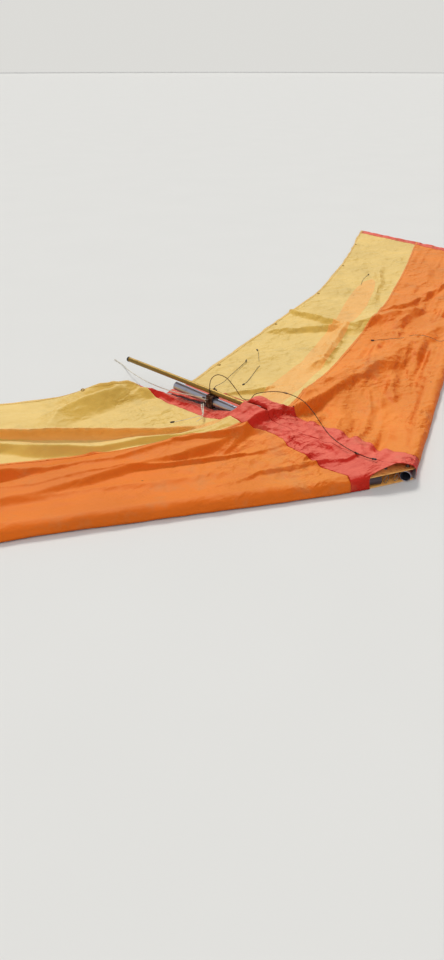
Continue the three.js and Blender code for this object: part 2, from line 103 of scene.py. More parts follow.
# The sail: where its seams lie, what holds it off the floor and how thick its cloth is
FLOOR_CLOTH = 0.006
LEAST_CLOTH = 0.0025
CLOTH_START = POCKET_RUN[0] + 0.004
HEM_SPAN = 0.975
SEAM_SHARE = 0.49
THICKNESS = 0.0006
# Radii round the tubes' axes that the cloth clears, and its least heights over what else lies under it
CLEAR_EDGE, CLEAR_BAR, CLEAR_KEEL = 0.0305, 0.0225, 0.0285
OVER_JUNCTION, OVER_STRAPPED, OVER_STRAPS, OVER_EARS, OVER_CLAMP, OVER_NOSE = mm([49.5, 56.5, 71.5, 69.5,
                                                                                  95.5, 70.5])
POCKET_RADIUS = 0.0284
LATTICE = 64
# A wave texture's scale times the width of one of its bands in metres
BAND = 0.314

# The camera as it was fitted to the picture: place, the way it looks in plan, how far down in degrees, lens
CAMERA = dict(place=(-2.5166, -1.1647, 1.65), way=(0.7547, 0.6561), down=31.52, sensor=36.0, lens=25.99)

# The frame's slot for each finish
SLOTS = {
    "clear_anodised_tube": "anodised_silver", "gold_anodised_tube": "anodised_gold",
    "orange_coated_plate": "anodised_gold", "weathered_steel": "steel_fitting",
    "rusted_steel": "steel_fitting",
    "tarnished_brass": "steel_fitting", "black_moulding": "black_plastic", "strap_webbing": "webbing",
    "red_sailcloth": "sail_red", "orange_sailcloth": "sail_orange", "yellow_sailcloth": "sail_yellow",
    "sail_thread": "sail_yellow", "rusty_stay_wire": "wire_rusty", "dark_stay_wire": "wire_dark",
    "covered_cable": "wire_pale",
}

# Red centre panel's inner edge, mm: how far aft, how far out from the keel's line, how high
RED_EDGE = mm([
    (-3, 0.25, 106), (60, 0.25, 88), (200, 0.25, 81), (400, 0.25, 79), (560, 0.25, 83), (640, 0.25, 84),
    (690, 0.25, 82), (703, 0.25, 86), (712, 0.25, 106), (719, 0.25, 122), (745, 19.5, 131), (770, 20.5, 137),
    (820, 20, 142), (860, 20, 144), (882, 22, 122), (905, 30, 100), (930, 36, 80), (1050, 30, 40),
    (1250, 10, 32), (1450, 8, 26),
])
# The edge on the right stands this much higher beside the kingpost's foot, mm, by how far aft
RED_EDGE_RIGHT = mm([(700, 0), (740, 11), (770, 16), (860, 10), (900, 4), (940, 0)])
# How strongly the red cloth is creased along that edge, by how far aft
RED_CREASED = np.array([(0.03, -0.8), (0.15, 0), (0.3, 1), (0.75, 1), (0.95, 0)])
# How far the left edge curls down beside the kingpost's foot, by how far aft
RED_CURL = np.array([(0.735, 0), (0.75, 0.017), (0.865, 0.017), (0.88, 0)])
# How the cloth's height by the keel falls off to each side, by the distance from the keel
TENT = {
    "left": np.array([(0, 1), (0.03, 1), (0.08, 0.97), (0.12, 0.89), (0.16, 0.68), (0.20, 0.50), (0.28, 0.30),
                      (0.38, 0.14), (0.55, 0)]),
    "right": np.array([(0, 1), (0.03, 0.97), (0.08, 0.88), (0.14, 0.74), (0.20, 0.56), (0.28, 0.36),
                       (0.38, 0.16), (0.55, 0)]),
}
# The hood's front rim on each side, mm, from the keel's line down to the floor in front of the leading edge
HOOD_RIM = {
    "left": mm([
        (0, -3, 106), (30, -30, 102), (57, -54, 88), (79, -66, 62), (95.5, -64, 3)]),
    "right": mm([
        (0, -3, 106), (-44, 16, 99), (-84, 36, 88), (-124, 55, 68), (-117, 50, 3)]),
}
# Each wing's chord: share of the span, length of the chord, how far its rear end leans out
CHORDS = {
    "left": np.array([(0, 1.442, 0), (0.25, 1.325, 0.033), (0.5, 1.207, 0.057), (0.75, 1.279, 0.141),
                      (1, 1.452, 0.231)]),
    "right": np.array([(0, 1.460, -0.088), (0.2, 1.455, -0.172), (0.5, 1.370, -0.192), (0.75, 1.370, -0.190),
                       (1, 1.394, -0.183)]),
}
# How far each wing's inner edge is drawn towards the keel, by the share of the chord
DRAWN_IN = {
    "left": np.array([(0.05, 0), (0.16, -0.012), (0.24, -0.022), (0.32, 0.012), (0.45, 0.018), (0.6, 0)]),
    "right": np.array([(0.1, 0), (0.2, 0.02), (0.25, 0.024), (0.3, 0.05), (0.4, 0.05), (0.45, 0),
                       (0.49, -0.03), (0.55, -0.01), (0.62, 0)]),
}
# How far ahead the right wing's middle seam lies by the keel, by the share of the span, and how that fades
SEAM_AHEAD = np.array([(0, 0.09), (0.03, 0.11), (0.06, 0.12), (0.1, 0.11), (0.2, 0.07), (0.3, 0.04),
                       (0.45, 0)])
SEAM_FADE = np.array([(0.25, 0), (SEAM_SHARE, 1), (0.85, 0)])
# Height of the cloth over the leading edge, mm, by the distance behind it
EDGE_DRAPE = {
    "left": mm([(-50, 54.5), (0, 54.5), (30, 50.5), (75, 30), (130, 13), (200, 3), (270, 0)]),
    "right": mm([(-50, 54.5), (0, 54.5), (30, 51.5), (80, 41), (150, 35), (220, 35), (310, 30), (440, 0)]),
}
# The same over the crossbar by the distance in front of it, and how much steeper its front slope gets
# outboard
BAR_DRAPE = {
    "left": mm([(-220, 0), (-120, 22), (-36, 66), (0, 67), (56, 64), (86, 18), (150, 0)]),
    "right": mm([(-220, 0), (-120, 24), (-36, 66), (0, 67), (85, 64), (115, 22), (180, 0)]),
}
OUTBOARD_SLOPE = {"left": 4.0, "right": 1.1}
# How far in front of the crossbar's line the tubes strapped to it reach
STRAPPED_REACH = {"left": 0.050, "right": 0.079}
# The slack cloth in front of the leading edge: way down, reach forward, share of the slack in that, height
WRAP = np.array([(0, 0, 0, 0.0608), (0.2, 0.0168, 0.1, 0.0570), (0.4, 0.0282, 0.38, 0.0460),
                 (0.6, 0.0325, 0.75, 0.0300), (0.8, 0.0318, 1.0, 0.0135), (1, 0.0265, 0.9, 0.0030)])
WRAP_SLACK = {"left": 0.005, "right": 0.013}

# Folds of the slack cloth, mm: width of the steep face, width of the gentle one, how far the crest leans over
# the steep face, and the crest as run, back and lift. The steep face lies on the left of the crest's way.
FOLDS = {
    "right": [
        (30, 80, 0,
         [(0, 150, 80), (64, 128, 74), (160, 150, 70), (280, 155, 62), (430, 140, 54), (580, 115, 46),
            (800, 80, 20)]),
        (36, 100, 0, [(200, 640, 108), (254.5, 612.8, 112), (350, 560, 110), (443, 505, 104), (550, 479, 98),
            (650, 484, 88), (800, 497, 72)]),
        (75, 120, 12, [(450, 600, 70), (600, 556, 72), (800, 500, 72), (950, 462, 72), (1113, 412, 72),
            (1381, 413, 70), (1643, 434, 68), (2000, 460, 55), (2500, 500, 30), (2900, 520, 0)]),
        (45, 90, 10, [(180, 365, 10), (309, 353, 42), (561, 337, 50), (752, 338, 54), (940, 329, 56),
            (1066, 342, 56), (1266, 316, 58), (1457, 277, 58), (1640, 257, 55), (1900, 200, 40),
            (2200, 150, 0)]),
        (80, 100, 0, [(250, 200, 10), (690, 203, 34), (960, 181, 40), (1213, 208, 42), (1522, 179, 42),
            (2000, 170, 40), (3000, 160, 34), (4200, 150, 20)]),
        (50, 100, 12, [(127, 727, 104), (197, 683, 104), (471, 612, 86), (744, 600, 58), (939, 627, 46),
            (1185, 604, 45), (1419, 654, 46), (1652, 744, 50), (2000, 820, 40), (2400, 900, 0)]),
        (28, 110, 26, [(600, 680, 15), (723, 698, 45), (974, 717, 58), (1216, 768, 62), (1458, 829, 62),
            (1651, 880, 62), (2100, 980, 50), (2600, 1100, 0)]),
        (110, 120, 0, [(960, 1201, 78), (1154, 1102, 78), (1315, 1014, 56), (1386, 891, 30)]),
        (120, 180, 0, [(840, 1220, 45), (930, 1260, 80), (1020, 1270, 88), (1120, 1250, 66), (1270, 1220, 30),
            (1400, 1200, 0)]),
        (50, 70, 0, [(540, 803, 30), (656, 1011, 35), (748, 1115, 45), (851, 1190, 60)]),
        (22, 40, 0, [(600, 85, 0), (680, 72, 10), (858, 56, 14), (1048, 46, 0)]),
        (22, 40, 0, [(1150, 85, 0), (1217, 66, 12), (1291, 45, 14), (1410, 30, 0)]),
        (60, 100, 0, [(1900, 1220, 0), (2300, 1100, 45), (2900, 1020, 30), (3400, 1000, 0)]),
        (60, 110, 8, [(2300, 420, 0), (2800, 560, 50), (3300, 660, 50), (4100, 800, 20)]),
    ],
    "left": [
        (30, 70, 6, [(420, 1180, 0), (500, 1050, 32), (620, 930, 34), (750, 860, 0)]),
        (40, 100, 0, [(50, 815, 104), (122, 767, 106), (212, 700, 106), (291, 686, 108), (323, 640, 106),
            (436, 595, 98), (650, 545, 80), (850, 490, 0)]),
        (45, 100, 6, [(2062, 1157, 30), (2001, 927, 40), (1882, 747, 48)]),
        (40, 90, 6, [(1620, 1140, 28), (1757, 894, 40), (1857, 740, 48)]),
        (105, 150, 12, [(1900, 690, 44), (1956, 642, 46), (2156, 546, 50), (2427, 295, 44), (2600, 160, 0)]),
        (55, 120, 8, [(2200, 600, 0), (2352, 530, 24), (2478, 402, 45), (2827, 291, 46), (3129, 180, 40),
            (3600, 80, 0)]),
        (50, 80, 6, [(980, 790, 0), (1094, 743, 22), (1186, 702, 36), (1633, 708, 40), (1841, 711, 48)]),
        (110, 110, 0, [(1850, 713, 44), (1885, 713, 44)]),
        (55, 80, 0, [(1956, 400, 0), (2100, 372, 28), (2257, 344, 30), (2400, 310, 0)]),
        (50, 90, 0, [(720, 170, 0), (812, 195, 18), (1365, 277, 28), (1891, 356, 20)]),
        (48, 80, 0, [(800, 100, 0), (934, 128, 18), (1503, 224, 20), (1700, 260, 0)]),
        (44, 70, 0, [(1800, 70, 0), (1947, 87, 14), (2321, 113, 14), (2500, 120, 0)]),
        (46, 75, 0, [(500, 270, 0), (626, 295, 20), (860, 354, 20), (1000, 390, 0)]),
        (46, 75, 0, [(450, 200, 0), (573, 226, 20), (889, 284, 20), (1000, 300, 0)]),
        (45, 70, 0, [(2450, 660, 0), (2602, 670, 22), (3036, 692, 28), (3443, 766, 20), (3700, 800, 0)]),
    ],
}
# Amber stripe in the yellow cloth, mm: run along the leading edge, and how far behind it the stripe's two
# edges lie
STRIPE = {
    "left": mm([
        (300, 720, 900), (790, 713, 892), (1170, 680, 830), (1920, 687, 815), (2470, 679, 851),
        (2840, 701, 862), (3080, 735, 840), (3220, 790, 790), (4400, 800, 750)]),
    "right": mm([
        (500, 640, 690), (723, 668, 702), (974, 684, 721), (1216, 734, 772), (1458, 795, 833),
        (1651, 846, 884), (2100, 900, 1000), (2600, 880, 1040), (4400, 840, 1020)]),
}

# Slack stays, as the CAD source routes them, mm, from the fitting that holds each. Sleeves: start, length
# and radius.
# Frayed: from this share of its length on, the cable is bare and this thin.
STAYS = {
    "front_stay": dict(radius=0.002, finish="rusty_stay_wire", steps=240, end="fitting",
                       sleeves=[(0.016, 0.022, 0.0042), (0.62, 0.020, 0.0042), (1.18, 0.024, 0.0045)], route=[
        (-21, 1088, 112.9), (-21, 1088, 126), (-20, 1092, 150), (-20, 1082, 205), (-20, 1033, 246),
        (2, 994, 232),
        (24, 955, 180), (42, 915, 126), (74, 896, 114), (117, 895, 130), (136, 835, 155), (136, 754, 180),
        (138, 676, 185), (135, 603, 175), (104, 529, 160), (56, 445, 140), (24, 382, 120), (10, 331, 104),
        (-4, 266, 95), (-11, 229, 93), (-17, 187, 92), (-22, 125, 94), (-19, 103, 96), (-16, 86, 98)]),
    "right_stay": dict(radius=0.0025, finish="covered_cable", steps=90, end="fitting", side="right",
                       frayed=(0.55, 0.0014), sleeves=[(0.006, 0.022, 0.0046)], route=[
        (-52.4, 1090, 87), (-66, 1090, 87), (-96, 1070, 85), (-132, 1036, 82), (-158, 1014, 80),
        (-178, 1012, 78), (-206, 1028, 75), (-268, 1048, 75), (-336, 1076, 78)]),
    "left_stay": dict(radius=0.0015, finish="dark_stay_wire", steps=120, end="fitting", side="left",
                      sleeves=[(0.008, 0.020, 0.0040)], route=[
        (23, 1098, 112.9), (23, 1098, 122), (36, 1106, 134), (66, 1122, 130), (105, 1139, 118),
        (228, 1203, 80), (300, 1247, 58), (400, 1305, 32), (484, 1343, 19), (584, 1376, 16), (658, 1400, 16),
        (686, 1416, 16)]),
    "tail_stay": dict(radius=0.0025, finish="covered_cable", steps=140, end="bare",
                      sleeves=[(0.006, 0.022, 0.0046)], route=[
        (-26, 1110.4, 92), (-26, 1128, 91), (-31, 1190, 84), (-36, 1330, 66), (-32, 1450, 57),
        (-10, 1590, 48), (34, 1730, 34), (84, 1850, 18), (124, 1930, 8), (150, 2000, 4), (166, 2070, 4)]),
    # The second covered cable beside the right stay, which the CAD source leaves to the scene
    "right_stay_pair": dict(radius=0.0025, finish="covered_cable", steps=80, end="bare",
                            side="right", frayed=(0.6, 0.0013), sleeves=[(0.006, 0.022, 0.0046)], route=[
        (-52.4, 1094, 82), (-66, 1096, 82), (-92, 1086, 83), (-122, 1056, 84), (-150, 1026, 83),
        (-176, 1000, 80), (-206, 988, 78), (-240, 986, 76)]),
}
# Thin wires that lie on the left wing's cloth: radius and plan points, mm
LOOSE_WIRES = {
    "batten_cord_1": (1.2, [(683, 1305), (643, 1292), (570, 1262), (498, 1230), (412, 1195), (373, 1189)]),
    "batten_cord_2": (1.1, [(2620, 1760), (2700, 1800), (2790, 1838), (2870, 1862), (2960, 1888)]),
    "batten_cord_3": (1.1, [(737, 1355), (790, 1400), (836, 1438), (870, 1470), (886, 1492)]),
    "side_wire": (1.2, [(1716, 560), (1690, 640), (1660, 760), (1620, 850), (1570, 950), (1530, 1020)]),
}


def add_node(tree, kind, inputs=None, **settings):
    """Adds one node with its settings and links.

    An input's value is a plain value, an output socket, or a node, which stands for its first output in use.
    """
    made = tree.nodes.new(kind)
    for name, value in settings.items():
        setattr(made, name, value)
    for name, value in (inputs or {}).items():
        if isinstance(value, bpy.types.Node):
            value = next(socket for socket in value.outputs if socket.enabled)
        if isinstance(value, bpy.types.NodeSocket):
            tree.links.new(value, made.inputs[name])
        else:
            made.inputs[name].default_value = value
    return made


def linear(colour):
    """An sRGB hex colour as linear red, green, blue and alpha."""
    channels = [int(colour[i:i + 2], 16) / 255 for i in (1, 3, 5)]
    return (*[c / 12.92 if c <= 0.04045 else ((c + 0.055) / 1.055) ** 2.4 for c in channels], 1.0)


def scaled(colour, by):
    return (*[min(1.0, c * by) for c in colour[:3]], 1.0)


def to_row(points):
    """Plan points in metres as row-frame points."""
    return np.asarray(points, float) + ORIGIN


def look_up(table, at, column=1):
    """A table's column at places in its first column."""
    return np.interp(at, table[:, 0], table[:, column])


def ramp(value, start, end):
    """0 up to start, 1 from end on; end may lie below start."""
    return np.clip((value - start) / (end - start), 0, 1)


def eased(value, places, heights):
    """Heights at the places of a table, with a smooth step from each to the next."""
    places, heights = np.asarray(places, float), np.asarray(heights, float)
    row = np.clip(np.searchsorted(places, value) - 1, 0, len(places) - 2)
    share = np.clip((value - places[row]) / (places[row + 1] - places[row]), 0, 1)
    return heights[row] + (heights[row + 1] - heights[row]) * share * share * (3 - 2 * share)


def cells(u, v, seed):
    """Random heights at the four corners of each point's cell, and the point's place in it."""
    grid = np.random.default_rng(seed).uniform(-1, 1, (LATTICE, LATTICE))
    i, j = np.floor(u).astype(int), np.floor(v).astype(int)
    corners = [grid[(i + di) % LATTICE, (j + dj) % LATTICE] for dj in (0, 1) for di in (0, 1)]
    return *corners, u - i, v - j


def swell(u, v, seed):
    """Smooth noise from -1 to 1, one hill or hollow to a unit."""
    a, b, c, d, fu, fv = cells(u, v, seed)
    fu, fv = fu * fu * (3 - 2 * fu), fv * fv * (3 - 2 * fv)
    return (a * (1 - fu) + b * fu) * (1 - fv) + (c * (1 - fu) + d * fu) * fv


def facets(u, v, seed):
    """Noise in flat triangles with sharp creases between them, as crumpled cloth has."""
    a, b, c, d, fu, fv = cells(u + 0.45 * swell(u * 0.9, v * 0.9, seed + 1),
                               v + 0.45 * swell(u * 0.9 + 7, v * 0.9, seed + 2), seed)
    return np.where(fu > fv, a + (b - a) * fu + (d - b) * fv, a + (d - c) * fu + (c - a) * fv)


class Wing:
    """One wing's plan: its leading edge, its chords and its crossbar."""

    def __init__(self, side, sign, angle):
        self.side, self.sign, self.angle = side, sign, math.radians(angle)
        self.edge_body, self.bar_body = f"leading_edge_{side}", f"crossbar_{side}"
        self.bolt = np.array(JOINTS[f"wing_fold_{side}"]["pos_m"][:2]) - ORIGIN[:2]
        self.along = np.array([sign * math.sin(self.angle), math.cos(self.angle)])
        self.behind = np.array([-sign * math.cos(self.angle), math.sin(self.angle)])
        self.hinge = np.array([sign * BAR_HINGE[0], BAR_HINGE[1]])
        bar = self.bolt + self.along * BAR_MEETS_EDGE[side] - self.hinge
        self.bar = bar / np.linalg.norm(bar)
        self.bar_front = np.array([sign * self.bar[1], -sign * self.bar[0]])

    def coords(self, x, y):
        """Run and back of plan places."""
        dx, dy = x - self.bolt[0], y - self.bolt[1]
        return dx * self.along[0] + dy * self.along[1], dx * self.behind[0] + dy * self.behind[1]

    def plan(self, run, back):
        return tuple(self.bolt[i] + run * self.along[i] + back * self.behind[i] for i in (0, 1))

    def station(self, span, share):
        """Plan place at a share of the span and of the chord."""
        samples = [np.clip(span + d, 0, 1) for d in (-0.06, -0.03, 0, 0.03, 0.06)]
        chord, lean = (sum(look_up(CHORDS[self.side], s, column) for s in samples) / 5 for column in (1, 2))
        x, y = self.plan(CLOTH_START + (POCKET_RUN[1] - CLOTH_START) * span, 0)
        if self.side == "right":
            y = y - look_up(SEAM_AHEAD, span) * look_up(SEAM_FADE, share)
        drawn_in = look_up(DRAWN_IN[self.side], share) * ramp(span, 0.05, 0)
        return x + self.sign * (lean * share - drawn_in), y + chord * share

    def edge_point(self, run):
        return (*self.plan(run, 0), EDGE_Z)

    def bar_point(self, run, front=0.0, height=BAR_Z):
        return (*(self.hinge + self.bar * run + self.bar_front * front), height)

    def off_bar(self, x, y):
        """Distance along the crossbar from its hinge, and in front of it."""
        dx, dy = x - self.hinge[0], y - self.hinge[1]
        return dx * self.bar[0] + dy * self.bar[1], dx * self.bar_front[0] + dy * self.bar_front[1]

    def gather(self, mesh):
        """Weights for cloth that gathers like a fan: 0 along the keel, 1 on the leading edge.

        In front of the nose bolt, where an angle would jump, they go smoothly from side to side.
        """
        points = np.array([v.co for v in mesh.vertices], float).reshape(-1, 3) - ORIGIN
        dx, dy = (points[:, 0] - self.bolt[0]) * self.sign, points[:, 1] - self.bolt[1]
        fan = np.clip(np.arctan2(dx, dy) / self.angle, 0, 1)
        ahead = ramp(-dy, 0, 0.03)
        return fan * (1 - ahead) + ramp(dx, -0.045, 0.045) * ahead


WINGS = {"left": Wing("left", 1, 70.6), "right": Wing("right", -1, 55.2)}


def fold_lift(run, back, fold):
    """Lift of one fold and how far it leans towards its steep face, along run and along back."""
    steep_width, gentle_width, most_lean = mm(fold[:3])
    crest = mm(fold[3])
    best = np.full(run.shape, 1e9)
    lift, lean_run, lean_back = np.zeros((3, *run.shape))
    for a, b in zip(crest[:-1], crest[1:]):
        d = b[:2] - a[:2]
        share = np.clip(((run - a[0]) * d[0] + (back - a[1]) * d[1]) / (d @ d), 0, 1)
        ox, oy = run - a[0] - share * d[0], back - a[1] - share * d[1]
        away = np.hypot(ox, oy)
        left = 1 - np.clip(away / np.where(ox * d[1] - oy * d[0] > 0, steep_width, gentle_width), 0, 1)
        shape = 0.25 * left * left * (3 - 2 * left) + 0.75 * left ** 1.3
        height = a[2] + (b[2] - a[2]) * share
        lean = most_lean * shape ** 2 * np.clip(height / 0.05, 0, 1) / np.linalg.norm(d)
        closer = away < best
        best, lift, lean_run, lean_back = (np.where(closer, new, old) for new, old in (
            (away, best), (height * shape, lift), (lean * d[1], lean_run), (-lean * d[0], lean_back)))
    return lift, lean_run, lean_back


def beyond(x, y, half_wide, half_deep):
    """Distance from the crossbars' bracket on the keel, which reaches so far to each side."""
    return np.hypot(np.maximum(0, abs(x) - half_wide), np.maximum(0, abs(y - BAR_HINGE[1]) - half_deep))


def frame_lift(wing, x, y, back):
    """Lifts of the cloth where it drapes over the leading edge, the crossbar and the keel's bracket."""
    run, front = wing.off_bar(x, y)
    bent = back + 0.008 * swell(x / 0.22, y / 0.22, 84) * ramp(back, 0, 0.06)
    profile = BAR_DRAPE[wing.side]
    ends = eased(run, [-0.25, -0.03, 2.02, 2.36], [0, 1, 1, 0])
    outboard = 1 + OUTBOARD_SLOPE[wing.side] * ramp(run, 0.8, 1.4)
    slope = profile[-3, 0]
    ahead = np.where(front > slope, slope + (front - slope) / outboard, front)
    bar = look_up(profile, ahead + 0.006 * swell(run / 0.16, front * 0, 85)) * ends
    ears = eased(beyond(x, y, 0.11, 0.055), [0, 0.06, 0.2], [0.066, 0.048, 0])
    clamp = eased(beyond(x, y, 0.04, 0.05), [0, 0.03, 0.09], [0.089, 0.07, 0])
    return [look_up(EDGE_DRAPE[wing.side], bent), bar, ears, clamp]


def frame_cover(wing, x, y, run, back):
    """The least height that clears what lies under the cloth."""
    least = np.zeros_like(x)

    def clear(where, height):
        nonlocal least
        least = np.where(where, np.maximum(least, height), least)

    def round_top(middle, radius, off):
        return middle + np.sqrt(np.maximum(0, radius ** 2 - off ** 2))

    clear((abs(back) < CLEAR_EDGE) & (run > 0.05), round_top(EDGE_Z, CLEAR_EDGE, back))
    clear((abs(run - JUNCTION_RUN) < 0.062) & (back > -0.004) & (back < 0.062), OVER_JUNCTION)
    along, front = wing.off_bar(x, y)
    on_bar = (along > -0.03) & (along < 2.02)
    clear(on_bar & (abs(front) < CLEAR_BAR), round_top(BAR_Z, CLEAR_BAR, front))
    reach = STRAPPED_REACH[wing.side]
    clear(on_bar & (front > 0) & (front < reach + 0.004), OVER_STRAPPED)
    off_strap = np.minimum(abs(along - STRAPS_AT[0]), abs(along - STRAPS_AT[1]))
    clear(True, OVER_STRAPS * ramp(off_strap, 0.066, 0.042) * ramp(front, -0.058, -0.038)
          * ramp(front, reach + 0.036, reach + 0.016))
    clear((abs(x) < 0.1) & (abs(y - BAR_HINGE[1]) < 0.03), OVER_EARS)
    clear((abs(x) < 0.041) & (abs(y - BAR_HINGE[1]) < 0.043), OVER_CLAMP)
    clear((abs(x) < CLEAR_KEEL) & (y > 0.05) & (y < 0.93), round_top(KEEL_Z + KEEL_SLOPE * y, CLEAR_KEEL, x))
    clear(np.hypot(x - wing.bolt[0], y - wing.bolt[1]) < 0.05, OVER_NOSE)
    return least


def crumple(wing, x, y, run, back, strength):
    """Small folds of slack sailcloth, along the keel near it and along the leading edge elsewhere."""
    near_keel = np.clip(1 - abs(x) / 0.3, 0, 1)
    rough = 0.30 * facets(x / 0.034, y / 0.030, 31)
    for height, u, v, seed, share in ((0.85, run / 0.17, back / 0.085, 11, 1 - near_keel),
                                      (0.85, x / 0.11, y / 0.13, 12, near_keel),
                                      (0.62, run / 0.080 + 3, back / 0.046, 21, 1 - near_keel),
                                      (0.70, x / 0.052, y / 0.066, 22, near_keel)):
        rough = rough + height * facets(u, v, seed) * share
    patch = 0.75 + 0.45 * swell(x / 0.45, y / 0.45, 41)
    if wing.side == "right":
        patch = patch * np.interp(abs(x), [0.25, 0.6], [1, 0.62])
        rays = 0.55 * swell(run / 0.75, back / 0.055, 51)
    else:
        fine = 2.2 * swell(run / 0.30, back / 0.040, 53) + 1.5 * swell(run / 0.50, back / 0.09, 54)
        rays = 0.25 * swell(run / 0.5, back / 0.09, 52) + fine * np.clip(1.3 - back / 0.6, 0, 1)
    calm = eased(abs(back), [0, 0.03, 0.12], [0.3, 0.4, 1])
    return strength * calm * (rough * patch + rays * ramp(abs(x), 0, 0.15))


def drape(wing, x, y, strength):
    """The cloth over plan places, as plan points: moved where folds lean over, and lifted."""
    run, back = wing.coords(x, y)
    bent_run = run + 0.012 * swell(run / 0.13, back / 0.13, 81)
    bent_back = back + 0.010 * swell(run / 0.16, back / 0.12, 82) + 0.004 * swell(run / 0.05, back / 0.05, 83)
    near_z = look_up(RED_EDGE, y, 2)
    if wing.side == "right":
        near_z = near_z + look_up(RED_EDGE_RIGHT, y)
    near_z = np.maximum(0, near_z - FLOOR_CLOTH) * ramp(y, 1.5, 1.4)
    lifts = [*frame_lift(wing, x, y, back), near_z * look_up(TENT[wing.side], abs(x))]
    leans = np.zeros((2, *run.shape))
    for fold in FOLDS[wing.side]:
        lift, *lean = fold_lift(bent_run, bent_back, fold)
        lifts.append(lift)
        leans += lean
    total = sum(lift ** 5 for lift in lifts) ** 0.2
    z = FLOOR_CLOTH + total + crumple(wing, x, y, run, back, strength) * ramp(total, -0.015, 0.015)
    x, y = (place + leans[0] * wing.along[i] + leans[1] * wing.behind[i] for i, place in enumerate((x, y)))
    z = np.maximum(z, frame_cover(wing, x, y, *wing.coords(x, y)))
    return np.stack([x, y, np.maximum(z, LEAST_CLOTH)], axis=-1)


def sail_grid(wing, spans, shares, strength):
    """Points of the sail at each span and share, in the row frame."""
    span, share = np.meshgrid(spans, shares, indexing="ij")
    x, y = wing.station(span, share)
    wave = 0.006 * swell(span * 40, share * 0, 61) * ramp(share, 0.9, 1)
    return to_row(drape(wing, x, y + wave, strength))


def front_wrap(wing, runs, downs):
    """Plan points where the slack cloth hangs from the leading edge's top to the floor in front of it."""
    run, down = np.meshgrid(runs, downs, indexing="ij")
    slack = WRAP_SLACK[wing.side] * (1 + 0.8 * swell(run / 0.33, run * 0, 91))
    crease = (facets(run / 0.13 + 1.6 * down, down * 1.8 + run * 0.5, 92)
              + 0.5 * facets(run / 0.05, down * 3, 93))
    low = np.clip(down * 3, 0, 1)
    reach = look_up(WRAP, down) + slack * look_up(WRAP, down, 2) + (0.0030 * crease + 0.0020) * low
    height = (look_up(WRAP, down, 3)
              + 0.0022 * crease * np.clip(down * 4, 0, 1) * np.clip((1 - down) * 4, 0, 1))
    return np.stack([*wing.plan(run, -reach), height], axis=-1)


def red_grid(wing, across, shares, downs, strength):
    """Points of half the red centre panel, from its hood's front rim aft along the keel's line."""
    u, share = np.meshgrid(across, shares, indexing="ij")
    outer_x, outer_y = wing.station(np.zeros_like(share), share)
    inner_y = RED_EDGE[0, 0] + (RED_EDGE[-1, 0] - RED_EDGE[0, 0]) * share
    inner_x = wing.sign * look_up(RED_EDGE, inner_y)
    creasing = 1 + 0.6 * np.sqrt(1 - u) * look_up(RED_CREASED, inner_y)
    body = drape(wing, inner_x + (outer_x - inner_x) * u, inner_y + (outer_y - inner_y) * u,
                 strength * creasing)
    if wing.side == "left":
        body[..., 2] -= look_up(RED_CURL, inner_y) * np.clip(1 - abs(outer_x - inner_x) * u / 0.012, 0, 1)
    rim = HOOD_RIM[wing.side]
    u, down = across[:, None], downs[None]
    inner = np.stack([np.interp(downs, np.linspace(0, 1, len(rim)), rim[:, axis]) for axis in range(3)],
                     axis=-1)
    outer = front_wrap(wing, [CLOTH_START], downs)[0]
    hood = inner[None] * (1 - u[..., None]) + outer[None] * u[..., None]
    # The hood's top row is the body's first row, so the skirt hangs from that and not from a straight line
    first_line = rim[0] * (1 - u) + front_wrap(wing, [CLOTH_START], [0.0])[0] * u
    hood += (body[:, :1] - first_line[:, None]) * ((1 - down) ** 2)[..., None]
    hood[..., 2] += 0.004 * facets(u * 2.5 + 0 * down, down * 2.2 + u, 95) * np.sin(np.pi * down)
    return to_row(np.concatenate([hood, body], axis=1))


def set_values(mesh, name, values):
    """Stores one number for each point of a mesh."""
    mark = mesh.attributes.new(name, "FLOAT", "POINT")
    mark.data.foreach_set("value", np.asarray(values, np.float32))


def grid_mesh(name, grid):
    """A mesh of one sheet over a grid of points, faces up, with a UV map in metres."""
    rows, columns = grid.shape[:2]
    index = np.arange(rows * columns).reshape(rows, columns)
    quads = np.stack([index[:-1, :-1], index[1:, :-1], index[1:, 1:], index[:-1, 1:]], axis=-1).reshape(-1, 4)
    a, b, c = grid[0, 0], grid[-1, 0], grid[-1, -1]
    if (b[0] - a[0]) * (c[1] - a[1]) - (b[1] - a[1]) * (c[0] - a[0]) < 0:
        quads = quads[:, ::-1]
    mesh = bpy.data.meshes.new(name)
    mesh.from_pydata(grid.reshape(-1, 3).tolist(), [], quads.tolist())
    long, wide = (np.concatenate([[0], np.cumsum(np.linalg.norm(np.diff(grid, axis=axis),
                                                                axis=2).mean(axis=1 - axis))])
                  for axis in (0, 1))
    u, v = np.repeat(long, columns), np.tile(wide, rows)
    corners = np.zeros(len(mesh.loops), int)
    mesh.loops.foreach_get("vertex_index", corners)
    mesh.uv_layers.new(name="UVMap").data.foreach_set("uv",
                                                      np.stack([u[corners], v[corners]], axis=-1).ravel())
    mesh.polygons.foreach_set("use_smooth", [True] * len(mesh.polygons))
    return mesh


@contextlib.contextmanager
def edited(mesh):
    """A mesh as a bmesh, written back at the end."""
    shape = bmesh.new()
    shape.from_mesh(mesh)
    yield shape
    shape.to_mesh(mesh)
    shape.free()


def outward(mesh):
    """Turns a closed mesh's faces outwards."""
    with edited(mesh) as shape:
        bmesh.ops.recalc_face_normals(shape, faces=shape.faces)


